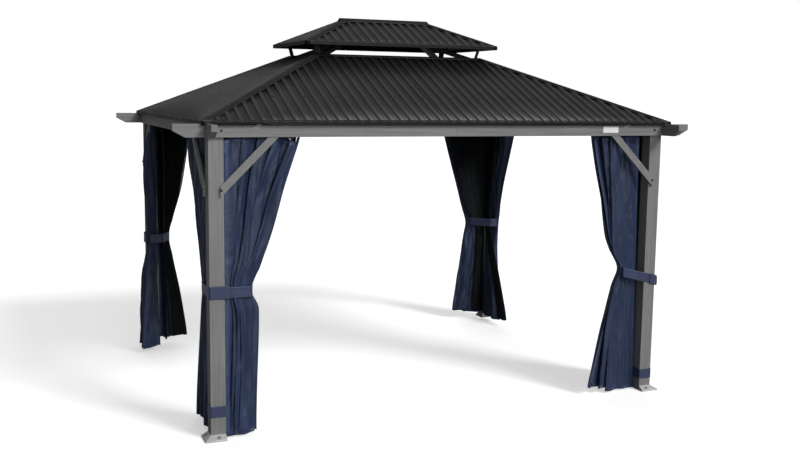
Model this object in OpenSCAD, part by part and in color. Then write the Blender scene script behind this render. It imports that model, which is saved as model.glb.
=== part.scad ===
// Metal gazebo with a two-tier hip roof, drapes and netting.
// Millimetres, +Z up, centred on the plot, standing on Z = 0.
// The long side is along X. Front is -Y.

/* [Frame] */
// Length over the outer faces of the posts
frame_length = 3480; // [2600:10:4800]
// Depth over the outer faces of the posts
frame_depth = 2820; // [2200:10:4000]
// Height of the underside of the beams
headroom = 2000; // [1800:5:2400]
// Side of the square post tube
post_side = 100; // [80:1:140]
// Wall of the post tube
post_wall = 2; // [1.5:0.1:4]
// Width of a beam seen from below
beam_width = 38; // [36:1:60]
// Height of a beam
beam_height = 86; // [70:1:120]
// Wall of the beam box
beam_wall = 2; // [1.5:0.1:4]
// How far a beam stands proud of the posts
beam_proud = 24; // [18:0.5:26]
// Length of a beam tail beyond the posts
tail_length = 227; // [140:1:320]
// Length of the sloping cut under a tail
tail_cut = 78; // [40:1:120]
// Gap of the joint in the middle of a beam
beam_joint = 1.2; // [0.6:0.1:2]

/* [Braces] */
// Distance of a brace's centre line from the corner
brace_reach = 325; // [250:1:450]
// Width of the brace
brace_width = 50; // [35:1:70]
// Thickness of the brace
brace_thick = 19; // [12:1:22]
// Length of the brace that lies on the post
brace_lap = 26; // [20:1:40]

/* [Feet] */
// How far the sloping skirt of a foot reaches out
skirt_reach = 45; // [36:1:70]
// Height of the skirt against the post
skirt_rise = 38; // [24:1:60]
// Height of the skirt's outer lip
skirt_lip = 11; // [6:1:16]
// Thickness of the plate under the post
foot_plate = 4; // [3:0.5:8]
// Distance of an anchor hole from the post
anchor_out = 28; // [20:1:40]
// Diameter of an anchor hole
anchor_dia = 11; // [8:0.5:14]

/* [Lower roof] */
// Slope of both roofs in degrees
roof_pitch = 23.75; // [18:0.25:30]
// Overhang of the eave beyond the posts
eave_out = 46.5; // [42:0.5:90]
// Plan width of the lower roof from eave to vent
lower_run = 1089; // [950:1:1150]
// Height of the ribs of a sheet
rib_height = 12; // [8:0.5:20]
// Largest spacing of the ribs
rib_spacing = 76; // [60:1:110]
// Thickness of a sheet
sheet_thick = 1.2; // [1:0.1:2]
// Width of the top of a rib
rib_crest = 22; // [14:1:30]
// Plan width of a rib's sloping side
rib_flank = 10; // [6:0.5:14]
// Gap where two sheets meet
sheet_gap = 0.6; // [0.4:0.1:1]
// Height of the drip leg under the lower eave
drip_height = 5.5; // [4:0.5:30]

/* [Upper roof] */
// How far the upper eave reaches out over the edge of the vent
vent_overlap = 102.5; // [60:0.5:160]
// Height of the upper sheets above the lower ones at the upper eave
vent_rise = 137.3; // [110:0.1:220]
// Height of the upper eave trim
upper_trim_height = 14; // [8:1:60]
// Length by which the ridge cap laps each hip
ridge_lap = 52; // [20:1:60]
// Plan width of one leg of the ridge cap
ridge_leg_width = 56; // [35:1:70]

/* [Caps and trims] */
// Plan width of one leg of a hip cap
cap_leg = 36; // [32:1:60]
// Plan width of the flashing at the edge of the vent
flashing_width = 34; // [20:1:60]
// Thickness of the folded caps and trims
trim_thick = 2; // [1.5:0.1:3]

/* [Roof frame] */
// Width of a lower hip rafter
hip_width = 45; // [30:1:60]
// Depth of a lower hip rafter
hip_depth = 35; // [25:1:50]
// Width of a middle rafter
mid_width = 40; // [30:1:50]
// Depth of a middle rafter
mid_depth = 35; // [25:1:50]
// Width of the purlin at the vent
purlin_width = 40; // [25:1:60]
// Depth of the purlin at the vent
purlin_depth = 25; // [15:1:35]
// Width of an upper hip rafter
upper_hip_width = 35; // [20:1:45]
// Depth of an upper hip rafter
upper_hip_depth = 25; // [15:1:30]
// Thickness of a vent strut
strut_thick = 12; // [6:1:20]
// Width of a vent strut
strut_width = 45; // [25:1:50]

/* [Drapes] */
// Width of the front-left drapes at the top
top_front_left = 490; // [300:5:600]
// Width of the front-left drape on the left side at the top
top_left_side = 600; // [300:5:640]
// Width of the front-right drapes at the top
top_front_right = 470; // [300:5:600]
// Width of the back-left drapes at the top
top_back_left = 330; // [300:5:600]
// Width of the back-right drapes at the top
top_back_right = 455; // [300:5:600]
// Width of a drape where it is tied
drape_waist = 190; // [120:5:240]
// Width of the front-left drapes at the hem
hem_front_left = 240; // [150:5:450]
// Width of the front-left drape on the left side at the hem
hem_left_side = 390; // [150:5:450]
// Width of the front-right drapes at the hem
hem_front_right = 410; // [150:5:450]
// Width of the back-left drapes at the hem
hem_back_left = 265; // [150:5:450]
// Width of the back-right drapes at the hem
hem_back_right = 320; // [150:5:450]
// Depth of the folds of a drape
drape_depth = 70; // [40:1:72]
// Depth of the folds of the netting
net_depth = 18; // [10:1:20]
// Height of the hem above the ground
hem_height = 15; // [5:1:60]
// Height of the middle of a tieback
tie_height = 980; // [800:5:1200]
// Height of a tieback band
tie_band = 84; // [50:1:110]
// Height of the middle of a post strap
strap_height = 185; // [120:5:400]
// Thickness of the straps
band_thick = 2; // [1.5:0.1:2]
// Width of the double curtain track
track_width = 64; // [50:1:72]
// Height of the curtain track
track_height = 14; // [10:1:22]

/* [Show] */
// Sub-part to draw

/* [Hidden] */
fit = 0.3;
hx = frame_length / 2;
hy = frame_depth / 2;
beam_in = beam_width - beam_proud;
beam_top = headroom + beam_height;
ex = hx + eave_out;
ey = hy + eave_out;
s = tan(roof_pitch);
sd = s / sqrt(2);
hip_angle = atan(sd);
trim_z = beam_top + fit;
eave_z = trim_z + trim_thick + fit;
crest_up = (rib_height + sheet_thick) / cos(roof_pitch);
upper_run = ey - lower_run + vent_overlap;
upper_eave_z = eave_z + s * (lower_run - vent_overlap) + vent_rise;
ux = upper_run + ex - ey;
uy = upper_run;
ridge_half = ex - ey;

// ---- helpers -------------------------------------------------------------

module corner(cx, cy) {
    // corner-local frame: origin at a post's outer corner, +X and +Y inwards
    translate([cx * hx, cy * hy, 0]) mirror([cx > 0 ? 1 : 0, 0, 0])
        mirror([0, cy > 0 ? 1 : 0, 0]) children();
}

module slab_front(x0, x1, y_eave, z_eave, up, thick, run) {
    // thin sloping plate over the front side, up millimetres above the sheets' underside
    translate([x0, -y_eave, z_eave + up]) rotate([roof_pitch, 0, 0])
        translate([0, -20, 0]) cube([x1 - x0, run / cos(roof_pitch) + 60, thick]);
}

module rib_profile(p, n0, n1, x0, x1) {
    // closed section of one sheet from x0 to x1, valleys centred on whole spacings
    a = rib_crest / 2;
    b = a + rib_flank;
    k = sheet_thick * 0.55;
    lo = [for (i = [n0 : n1 - 1]) let (c = (i + 0.5) * p)
        each [[c - b, 0], [c - a, rib_height], [c + a, rib_height], [c + b, 0]]];
    up = [for (i = [n1 - 1 : -1 : n0]) let (c = (i + 0.5) * p)
        each [[c + b + k, sheet_thick], [c + a + k, rib_height + sheet_thick],
              [c - a - k, rib_height + sheet_thick], [c - b - k, sheet_thick]]];
    polygon(concat([[x0, 0]], lo, [[x1, 0], [x1, sheet_thick]], up, [[x0, sheet_thick]]));
}

module sheet(p, n0, n1, half, ye, ze, run, top_half) {
    // one ribbed sheet of the front side, cut to the eave, the hips and the upper edge
    x0 = n0 * p + sheet_gap / 2;
    x1 = n1 * p - sheet_gap / 2;
    long = run / cos(roof_pitch) + 40;
    hipgap = 2;
    intersection() {
        translate([0, -ye, ze]) rotate([90 + roof_pitch, 0, 0])
            translate([0, 0, 10 - long]) linear_extrude(long) rib_profile(p, n0, n1, x0, x1);
        translate([0, 0, ze - 60]) linear_extrude(run * s + 160)
            polygon([[-half + hipgap, -ye], [half - hipgap, -ye],
                     [top_half - hipgap, run - ye], [-top_half + hipgap, run - ye]]);
    }
}

module tri_sheet(p, n, half, ze) {
    // the three-cornered sheet on an end of the upper roof
    long = half / cos(roof_pitch) + 40;
    intersection() {
        translate([0, -half, ze]) rotate([90 + roof_pitch, 0, 0])
            translate([0, 0, 10 - long]) linear_extrude(long)
            rib_profile(p, -n, n, -half, half);
        translate([0, 0, ze - 60]) linear_extrude(half * s + 160)
            polygon([[-half + 2, -half], [half - 2, -half], [0, -2]]);
    }
}

module to_side(a, x) {
    // puts a piece built for the front side onto the side turned by a
    rotate([0, 0, a]) translate([0, x, 0]) children();
}

module hip_bar(width, ze, x_eave, y_eave, depth, h0, h1, seat) {
    // bar under a hip, along the 45 degree line from the front-left eave corner
    drop = sd * width / 2 + fit;
    v = depth / cos(hip_angle);
    hs = (seat - ze + drop + v) / sd;
    pts = hs > h0 ? [[h0, seat], [h0, ze - drop + sd * h0], [h1, ze - drop + sd * h1],
            [h1, ze - drop - v + sd * h1], [hs, seat]]
        : [[h0, ze - drop - v + sd * h0], [h0, ze - drop + sd * h0],
            [h1, ze - drop + sd * h1], [h1, ze - drop - v + sd * h1]];
    translate([-x_eave, -y_eave, 0]) rotate([0, 0, 45]) rotate([90, 0, 0])
        translate([0, 0, -width / 2]) linear_extrude(width) polygon(pts);
}

module four() {
    // the piece at the front-left corner and its three mirror images
    children();
    mirror([1, 0, 0]) children();
    mirror([0, 1, 0]) children();
    mirror([1, 0, 0]) mirror([0, 1, 0]) children();
}

// ---- feet, posts, beams, braces ------------------------------------------

module foot(cx, cy) {
    r = skirt_reach;
    sec = [[-post_side, 0], [r, 0], [r, skirt_lip], [0, skirt_rise], [-post_side, skirt_rise]];
    color([0.78, 0.78, 0.77]) corner(cx, cy) difference() {
        intersection() {
            rotate([0, 0, 180]) rotate([90, 0, 0]) translate([0, 0, -r])
                linear_extrude(post_side + r) polygon(sec);
            mirror([0, 1, 0]) rotate([90, 0, 90]) translate([0, 0, -r])
                linear_extrude(post_side + r) polygon(sec);
        }
        translate([-fit, -fit, foot_plate]) cube([post_side + 5, post_side + 5, skirt_rise]);
        translate([post_side / 2, -anchor_out, -1]) cylinder(d = anchor_dia, h = skirt_rise + 2);
        translate([-anchor_out, post_side / 2, -1]) cylinder(d = anchor_dia, h = skirt_rise + 2);
    }
}

module post(cx, cy) {
    head = post_side - beam_in - fit;
    w = post_wall;
    color([0.42, 0.42, 0.42]) corner(cx, cy) difference() {
        union() {
            translate([0, 0, foot_plate + fit])
                cube([post_side, post_side, headroom - foot_plate - fit]);
            translate([beam_in + fit, beam_in + fit, headroom - 1])
                cube([head, head, beam_height + 1]);
        }
        translate([w, w, 0]) cube([post_side - 2 * w, post_side - 2 * w, headroom - 3]);
        translate([beam_in + fit + w, beam_in + fit + w, headroom - 4])
            cube([head - 2 * w, head - 2 * w, beam_height + 4 - 3]);
    }
}

module tail_section(x0, x1, wall) {
    // side view of a beam end; wall > 0 gives the hollow inside it
    w = wall;
    ln = norm([tail_cut, beam_height / 2]);
    up = w * ln / tail_cut;
    rise = beam_height / 2 / tail_cut;
    xa = x1 - tail_cut + (w - up) / rise;
    polygon([[x0, w], [xa, w], [x1 - w, (tail_cut - w) * rise + up],
        [x1 - w, beam_height - w], [x0, beam_height - w]]);
}

module long_beam_half() {
    // right half of the front beam with its tail
    translate([0, -hy - beam_proud, headroom]) difference() {
        translate([0, beam_width, 0]) rotate([90, 0, 0]) linear_extrude(beam_width)
            tail_section(beam_joint / 2, hx + tail_length, 0);
        translate([0, beam_width - beam_wall, 0]) rotate([90, 0, 0])
            linear_extrude(beam_width - 2 * beam_wall)
            tail_section(-1, hx + tail_length, beam_wall);
    }
}

module long_beam(cy) {
    color([0.45, 0.45, 0.45]) mirror([0, cy > 0 ? 1 : 0, 0]) {
        long_beam_half();
        mirror([1, 0, 0]) long_beam_half();
    }
}

module side_beam_half() {
    // back half of the left beam between the long beams, and the tail outside
    y1 = hy - beam_in - fit;
    y2 = hy + beam_proud + fit;
    translate([-hx - beam_proud, 0, headroom]) {
        difference() {
            translate([0, beam_joint / 2, 0])
                cube([beam_width, y1 - beam_joint / 2, beam_height]);
            translate([beam_wall, -1, beam_wall])
                cube([beam_width - 2 * beam_wall, y1 - beam_wall + 1, beam_height - 2 * beam_wall]);
        }
        difference() {
            rotate([90, 0, 90]) linear_extrude(beam_width)
                tail_section(y2, hy + tail_length, 0);
            translate([beam_wall, 0, 0]) rotate([90, 0, 90])
                linear_extrude(beam_width - 2 * beam_wall)
                tail_section(y2 - 1, hy + tail_length, beam_wall);
        }
    }
}

module side_beam(cx) {
    color([0.45, 0.45, 0.45]) mirror([cx > 0 ? 1 : 0, 0, 0]) {
        side_beam_half();
        mirror([0, 1, 0]) side_beam_half();
    }
}

module brace() {
    // brace in the front plane of the front-left corner, corner-local
    half = brace_width / 2 * sqrt(2);
    u0 = -brace_lap;
    top = -fit;
    translate([post_side, -fit, headroom]) rotate([90, 0, 0]) linear_extrude(brace_thick)
        polygon([[brace_reach - half + top, top], [brace_reach + half + top, top],
                 [u0, -(brace_reach + half - u0)], [u0, -(brace_reach - half - u0)]]);
}

module braces(cx, cy) {
    color([0.4, 0.4, 0.4]) corner(cx, cy) {
        brace();
        mirror([1, -1, 0]) brace();
    }
}

// ---- roof sheets -----------------------------------------------------------

module lower_side(half, ye) {
    // four sheets, the joints one rib off the middle and the quarter points
    n = ceil(half / 2 / rib_spacing) * 2;
    p = half / n;
    q = n / 2;
    top_half = half - lower_run;
    sheet(p, -n, -q - 1, half, ye, eave_z, lower_run, top_half);
    sheet(p, -q - 1, -1, half, ye, eave_z, lower_run, top_half);
    sheet(p, -1, q - 1, half, ye, eave_z, lower_run, top_half);
    sheet(p, q - 1, n, half, ye, eave_z, lower_run, top_half);
}

module upper_side() {
    // three sheets between the hips
    n = ceil(ux / rib_spacing);
    p = ux / n;
    q = round(n / 3);
    sheet(p, -n, -q, ux, uy, upper_eave_z, uy - 2, ridge_half + 2);
    sheet(p, -q, q, ux, uy, upper_eave_z, uy - 2, ridge_half + 2);
    sheet(p, q, n, ux, uy, upper_eave_z, uy - 2, ridge_half + 2);
}

module upper_end() {
    n = ceil(uy / rib_spacing);
    translate([0, uy - ux, 0]) tri_sheet(uy / n, n, uy, upper_eave_z);
}

module roof_sheet(kind, a) {
    color([0.16, 0.16, 0.165]) rotate([0, 0, a]) {
        if (kind == "lower_long") lower_side(ex, ey);
        if (kind == "lower_short") lower_side(ey, ex);
        if (kind == "upper_long") upper_side();
        if (kind == "upper_short") upper_end();
    }
}

// ---- caps and trims ---------------------------------------------------------

module cap_leg_front(x_eave, y_eave, ze, reach, w) {
    // the leg of a hip cap that lies on the front side
    d = w * sqrt(2);
    intersection() {
        slab_front(-x_eave - 20, -x_eave + reach + d + 40, y_eave, ze, crest_up + fit,
            trim_thick / 2, reach + 20);
        translate([-x_eave, -y_eave, ze - 80]) linear_extrude(reach * s + 200)
            polygon([[0, 0], [d, 0], [reach + d, reach], [reach, reach]]);
    }
}

module cap_leg_end(x_eave, y_eave, ze, reach, w, shut) {
    // the leg that lies on the left side; shut cuts it at the middle line
    d = w * sqrt(2);
    intersection() {
        rotate([0, 0, -90]) mirror([1, 0, 0])
            slab_front(-y_eave - 20, -y_eave + reach + d + 40, x_eave, ze, crest_up + fit,
                trim_thick / 2, reach + 20);
        translate([-x_eave, -y_eave, ze - 80]) linear_extrude(reach * s + 200)
            polygon(shut ? [[0, 0], [0, d], [reach - d, reach], [reach, reach]]
                : [[0, 0], [0, d], [reach, reach + d], [reach, reach]]);
    }
}

module vent_flashing(half, ye) {
    // strip on the crests at the upper edge of the lower sheets, its leg covering their ends
    t0 = lower_run - flashing_width;
    t1 = lower_run + fit + trim_thick / 2;
    room = cap_leg * sqrt(2) + 1;
    x0 = half - t0 - room;
    x1 = half - t1 - room;
    up = crest_up + fit;
    low = eave_z + s * lower_run - 8;
    union() {
        intersection() {
            slab_front(-x0 - 20, x0 + 20, ye, eave_z, up, trim_thick / 2, lower_run + 20);
            translate([0, -ye, eave_z]) linear_extrude(lower_run)
                polygon([[-x0, t0], [x0, t0], [x1, t1], [-x1, t1]]);
        }
        translate([-x1, t1 - trim_thick / 2 - ye, low])
            cube([2 * x1, trim_thick / 2, eave_z + s * lower_run + up + 0.5 - low]);
    }
}

module lower_roof_caps() {
    color([0.17, 0.17, 0.175]) {
        four() union() {
            cap_leg_front(ex, ey, eave_z, lower_run, cap_leg);
            cap_leg_end(ex, ey, eave_z, lower_run, cap_leg, false);
        }
        vent_flashing(ex, ey);
        rotate([0, 0, 180]) vent_flashing(ex, ey);
        rotate([0, 0, 90]) vent_flashing(ey, ex);
        rotate([0, 0, -90]) vent_flashing(ey, ex);
    }
}

module upper_hip_caps() {
    color([0.17, 0.17, 0.175]) four() union() {
        cap_leg_front(ux, uy, upper_eave_z, uy - fit, cap_leg);
        cap_leg_end(ux, uy, upper_eave_z, uy - fit, cap_leg, true);
    }
}

module ridge_leg() {
    l = ridge_half + ridge_lap;
    up = crest_up + fit + trim_thick / 2 / cos(roof_pitch) + fit;
    intersection() {
        slab_front(-l - 10, l + 10, uy, upper_eave_z, up, trim_thick / 2, uy + 20);
        translate([-l, -ridge_leg_width, upper_eave_z])
            cube([2 * l, ridge_leg_width, uy * s + 100]);
    }
}

module ridge_cap() {
    color([0.17, 0.17, 0.175]) union() {
        ridge_leg();
        mirror([0, 1, 0]) ridge_leg();
    }
}

module lower_trim(half, off, end) {
    // angle on top of a beam; its drip leg is notched over the tails and returned at the ends
    in = eave_out + beam_in - fit;
    low = eave_z - fit - drip_height;
    near = eave_out - beam_proud - fit;
    cut = beam_width + 2 * fit;
    difference() {
        union() {
            translate([-half + end, -off + 1.5, trim_z])
                cube([2 * (half - end), in - 1.5, trim_thick]);
            translate([-half + end, -off + 1.5, low])
                cube([2 * (half - end), trim_thick, drip_height]);
            if (end < 2) for (m = [0, 1]) mirror([m, 0, 0])
                translate([-half + end, -off + 1.5, low])
                cube([trim_thick, in - 1.5, drip_height]);
        }
        if (end < 2) for (m = [0, 1]) mirror([m, 0, 0]) {
            translate([-half + near, -off - 1, low - 1])
                cube([cut, eave_out, trim_z - low + 1]);
            translate([-half - 1, -off + near, low - 1])
                cube([eave_out, cut, trim_z - low + 1]);
        }
    }
}

module lower_eave_trim() {
    in = eave_out + beam_in;
    color([0.11, 0.11, 0.115]) {
        lower_trim(ex, ey, 1.5);
        mirror([0, 1, 0]) lower_trim(ex, ey, 1.5);
        rotate([0, 0, 90]) lower_trim(ey, ex, in + fit);
        rotate([0, 0, -90]) lower_trim(ey, ex, in + fit);
    }
}

module upper_trim(half, off, end) {
    w = 40;
    union() {
        translate([-half + end, -off + 1.5, upper_eave_z - fit - trim_thick])
            cube([2 * (half - end), w - 1.5, trim_thick]);
        translate([-half + end, -off + 1.5, upper_eave_z - fit - upper_trim_height])
            cube([2 * (half - end), trim_thick, upper_trim_height]);
        if (end < 2) for (m = [0, 1]) mirror([m, 0, 0])
            translate([-half + end, -off + 1.5, upper_eave_z - fit - upper_trim_height])
            cube([trim_thick, w - 1.5, upper_trim_height]);
    }
}

module upper_eave_trim() {
    color([0.11, 0.11, 0.115]) {
        upper_trim(ux, uy, 1.5);
        mirror([0, 1, 0]) upper_trim(ux, uy, 1.5);
        rotate([0, 0, 90]) upper_trim(uy, ux, 40 + fit);
        rotate([0, 0, -90]) upper_trim(uy, ux, 40 + fit);
    }
}

// ---- roof frame ---------------------------------------------------------------

hip_start = (eave_out + beam_in + 1) * sqrt(2) + hip_width / 2;
hip_end = ey * sqrt(2) - hip_width / 2 - 1;
hub = (hip_width / 2 + 1) * sqrt(2) - fit * sqrt(2);
ridge_top = eave_z + s * ey - sd * (hip_width / 2 + 1) - sd * hip_width / 2 - fit;

module hip_rafters() {
    color([0.13, 0.13, 0.135]) four()
        hip_bar(hip_width, eave_z, ex, ey, hip_depth, hip_start, hip_end, beam_top + fit);
}

module ridge_bar(half, width, depth, top, tip) {
    translate([0, 0, top - depth]) linear_extrude(depth)
        polygon([[-half, -width / 2], [half, -width / 2], [half, -tip], [half + tip, 0],
            [half, tip], [half, width / 2], [-half, width / 2], [-half, tip],
            [-half - tip, 0], [-half, -tip]]);
}

module ridge_beams() {
    w = 30;
    tip = (upper_hip_width / 2 + 1 - fit) * sqrt(2);
    top = upper_eave_z + s * (uy - max(tip, w / 2)) - fit;
    color([0.13, 0.13, 0.135]) {
        ridge_bar(ridge_half, mid_width, hip_depth, ridge_top, hub);
        ridge_bar(ridge_half, w, upper_hip_depth, top, tip);
    }
}

module mid_rafter(off, d1) {
    // rafter square to the front side, its foot on the eave trim
    d0 = 24;
    v = mid_depth / cos(roof_pitch);
    seat = trim_z + trim_thick + fit;
    ds = (seat - eave_z + fit + v) / s;
    translate([0, -off, 0]) rotate([90, 0, 90]) translate([0, 0, -mid_width / 2])
        linear_extrude(mid_width)
        polygon([[d0, seat], [d0, eave_z - fit + s * d0], [d1, eave_z - fit + s * d1],
            [d1, eave_z - fit - v + s * d1], [ds, seat]]);
}

module mid_rafters() {
    d1 = lower_run - 4;
    color([0.13, 0.13, 0.135]) {
        mid_rafter(ey, d1);
        mirror([0, 1, 0]) mid_rafter(ey, d1);
        rotate([0, 0, 90]) mid_rafter(ex, d1);
        rotate([0, 0, -90]) mid_rafter(ex, d1);
    }
}

module purlin(half, off) {
    // purlin under the upper edge of the lower sheets, cut off at the hips
    t = half - lower_run;
    m = (hip_width / 2 + fit) * sqrt(2);
    difference() {
        intersection() {
            translate([-half, -off, eave_z]) rotate([roof_pitch, 0, 0])
                translate([0, (lower_run - purlin_width - 4) / cos(roof_pitch), -purlin_depth - fit])
                cube([2 * half, purlin_width, purlin_depth]);
            translate([0, -off, eave_z]) linear_extrude(ey * s)
                polygon([[-half + m, 0], [half - m, 0], [t - m, lower_run], [m - t, lower_run]]);
        }
        translate([-mid_width / 2 - fit, -off, eave_z])
            cube([mid_width + 2 * fit, ey, ey * s]);
    }
}

module vent_purlins() {
    color([0.12, 0.12, 0.125]) {
        purlin(ex, ey);
        mirror([0, 1, 0]) purlin(ex, ey);
        rotate([0, 0, 90]) purlin(ey, ex);
        rotate([0, 0, -90]) purlin(ey, ex);
    }
}

module upper_hip_rafters() {
    h0 = upper_hip_width / 2 + 5 * sqrt(2);
    h1 = uy * sqrt(2) - upper_hip_width / 2 - 1;
    color([0.13, 0.13, 0.135]) four() difference() {
        hip_bar(upper_hip_width, upper_eave_z, ux, uy, upper_hip_depth, h0, h1,
            upper_eave_z - 200);
        translate([-ux, -uy, upper_eave_z - 100]) cube([ux, uy, 100]);
    }
}

module vent_strut() {
    // flat strut square to the hip rafter, from the lower hip to the upper one
    low = eave_z - sd * hip_width / 2 - fit;
    h2 = (ex - ux) * sqrt(2);
    high = upper_eave_z - sd * upper_hip_width / 2 - fit
        - upper_hip_depth / cos(hip_angle) - sd * h2;
    len = (high - low) * cos(hip_angle) - 2 * fit;
    h = lower_run * sqrt(2) + strut_width / 2 + strut_thick + 3;
    translate([-ex, -ey, low]) rotate([0, 0, 45]) rotate([90, 0, 0])
        translate([h, sd * h, -strut_width / 2]) rotate([0, 0, hip_angle])
        translate([-strut_thick / 2, fit, 0]) cube([strut_thick, len, strut_width]);
}

module vent_struts() {
    color([0.12, 0.12, 0.125]) four() vent_strut();
}

// ---- tracks, drapes, bands ------------------------------------------------------

module curtain_tracks() {
    y0 = hy - beam_in - fit - track_width;
    x0 = hx - beam_in - fit - track_width;
    lx = hx - post_side - fit;
    ly = hy - post_side - fit;
    color([0.12, 0.12, 0.125]) for (m = [0, 1]) {
        mirror([0, m, 0]) translate([-lx, -y0 - track_width, headroom])
            cube([2 * lx, track_width, track_height]);
        mirror([m, 0, 0]) translate([-x0 - track_width, -ly, headroom])
            cube([track_width, 2 * ly, track_height]);
    }
}

function drape_top(cx, cy) = cy < 0 ? (cx < 0 ? top_front_left : top_front_right)
    : (cx < 0 ? top_back_left : top_back_right);

function side_top(cx, cy) = cx < 0 && cy < 0 ? top_left_side : drape_top(cx, cy);

function side_hem(cx, cy) = cx < 0 && cy < 0 ? hem_left_side : drape_hem(cx, cy);

function drape_hem(cx, cy) = cy < 0 ? (cx < 0 ? hem_front_left : hem_front_right)
    : (cx < 0 ? hem_back_left : hem_back_right);

module drape(depth, y0, top, hem) {
    // gathered drape beside the post, drawn in together at the tieback
    g = 3;
    z1 = headroom - fit;
    za = tie_height + tie_band / 2 + 18;
    zb = tie_height - tie_band / 2 - 18;
    translate([post_side + g, y0 + depth, 0]) rotate([90, 0, 0]) linear_extrude(depth)
        polygon([[0, hem_height], [hem - g, hem_height], [drape_waist - g, zb],
            [drape_waist - g, za], [top - g, z1], [0, z1]]);
}

module curtains(cx, cy) {
    t = drape_top(cx, cy);
    h = drape_hem(cx, cy);
    color([0.15, 0.19, 0.33]) corner(cx, cy) {
        drape(drape_depth, 4, t, h);
        mirror([1, -1, 0]) drape(drape_depth, 4, side_top(cx, cy), side_hem(cx, cy));
    }
}

module netting(cx, cy) {
    y0 = 4 + drape_depth + fit;
    t = drape_top(cx, cy);
    h = drape_hem(cx, cy);
    color([0.1, 0.13, 0.14]) corner(cx, cy) {
        drape(net_depth, y0, t, h);
        mirror([1, -1, 0]) drape(net_depth, y0, side_top(cx, cy), side_hem(cx, cy));
    }
}

module l_shape(o) {
    w = post_side + drape_waist;
    polygon([[-o, -o], [w + o, -o], [w + o, post_side + o], [post_side + o, post_side + o],
        [post_side + o, w + o], [-o, w + o]]);
}

module bands_at_waist() {
    four() translate([-hx, -hy, tie_height - tie_band / 2])
        linear_extrude(tie_band) difference() {
            l_shape(0.5 + band_thick);
            l_shape(0.5);
        }
}

module bands_at_foot() {
    b = post_side + 1;
    c = b + 2 * band_thick;
    four() translate([-hx - 0.5, -hy - 0.5, strap_height - tie_band / 2])
        difference() {
            translate([-band_thick, -band_thick, 0]) cube([c, c, tie_band]);
            translate([0, 0, -1]) cube([b, b, tie_band + 2]);
        }
}

module tieback_straps() {
    color([0.14, 0.17, 0.31]) {
        bands_at_waist();
        bands_at_foot();
    }
}

// ---- nodes ------------------------------------------------------------------

foot(-1, -1);  // foot_front_left
foot(1, -1);  // foot_front_right
foot(-1, 1);  // foot_back_left
foot(1, 1);  // foot_back_right
post(-1, -1);  // post_front_left
post(1, -1);  // post_front_right
post(-1, 1);  // post_back_left
post(1, 1);  // post_back_right
long_beam(-1);  // front_beam
long_beam(1);  // back_beam
side_beam(-1);  // left_beam
side_beam(1);  // right_beam
braces(-1, -1);  // braces_front_left
braces(1, -1);  // braces_front_right
braces(-1, 1);  // braces_back_left
braces(1, 1);  // braces_back_right
roof_sheet("lower_long", 0);  // lower_roof_front
roof_sheet("lower_long", 180);  // lower_roof_back
roof_sheet("lower_short", -90);  // lower_roof_left
roof_sheet("lower_short", 90);  // lower_roof_right
roof_sheet("upper_long", 0);  // upper_roof_front
roof_sheet("upper_long", 180);  // upper_roof_back
roof_sheet("upper_short", -90);  // upper_roof_left
roof_sheet("upper_short", 90);  // upper_roof_right
lower_roof_caps();
upper_hip_caps();
ridge_cap();
lower_eave_trim();
upper_eave_trim();
hip_rafters();
mid_rafters();
ridge_beams();
vent_purlins();
upper_hip_rafters();
vent_struts();
curtain_tracks();
curtains(-1, -1);  // curtains_front_left
curtains(1, -1);  // curtains_front_right
curtains(-1, 1);  // curtains_back_left
curtains(1, 1);  // curtains_back_right
netting(-1, -1);  // netting_front_left
netting(1, -1);  // netting_front_right
netting(-1, 1);  // netting_back_left
netting(1, 1);  // netting_back_right
tieback_straps();
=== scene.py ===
import math

import bmesh
import bpy
import numpy as np
from mathutils import Matrix, Vector


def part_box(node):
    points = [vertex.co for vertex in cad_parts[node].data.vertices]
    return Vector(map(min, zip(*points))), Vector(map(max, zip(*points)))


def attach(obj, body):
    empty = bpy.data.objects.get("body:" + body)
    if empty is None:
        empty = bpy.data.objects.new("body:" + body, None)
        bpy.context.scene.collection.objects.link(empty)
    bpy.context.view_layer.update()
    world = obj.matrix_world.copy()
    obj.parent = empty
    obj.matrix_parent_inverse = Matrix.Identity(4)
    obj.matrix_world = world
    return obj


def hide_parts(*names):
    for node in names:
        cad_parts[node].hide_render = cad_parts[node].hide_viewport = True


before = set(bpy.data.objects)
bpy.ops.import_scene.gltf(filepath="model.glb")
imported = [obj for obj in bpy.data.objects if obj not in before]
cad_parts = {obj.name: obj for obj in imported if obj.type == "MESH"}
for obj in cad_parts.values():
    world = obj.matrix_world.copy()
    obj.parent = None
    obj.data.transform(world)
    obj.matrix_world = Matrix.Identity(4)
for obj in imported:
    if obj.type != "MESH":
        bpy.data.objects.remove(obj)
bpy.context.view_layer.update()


# ---- Feet ----------------------------------------------------------------------------
# A pressed sheet-metal skirt round the bottom of each post, sprayed light silver.
# Its corners are folded and dressed, and the coat is dusty and scuffed at the lip.

# Which way each corner lies from the middle, along x and y.
CORNERS = {"front_left": (-1, -1), "front_right": (1, -1), "back_left": (-1, 1),
           "back_right": (1, 1)}


def put(tree, kind, inputs=(), **settings):
    """Adds a node to a tree, with its settings and its inputs by name or number."""
    node = tree.nodes.new(kind)
    for key, value in settings.items():
        setattr(node, key, value)
    for key, value in dict(inputs).items():
        if isinstance(value, bpy.types.NodeSocket):
            tree.links.new(value, node.inputs[key])
        else:
            node.inputs[key].default_value = value
    return node


def calc(tree, operation, *values):
    return put(tree, "ShaderNodeMath", enumerate(values), operation=operation).outputs[0]


def mixed(tree, share, first, second, blend="MIX"):
    return put(tree, "ShaderNodeMix", {0: share, 6: first, 7: second},
               data_type="RGBA", blend_type=blend).outputs[2]


def spread(tree, value, low, high, to_low=0.0, to_high=1.0):
    return put(tree, "ShaderNodeMapRange", {0: value, 1: low, 2: high, 3: to_low, 4: to_high},
               interpolation_type="SMOOTHSTEP").outputs[0]


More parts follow.
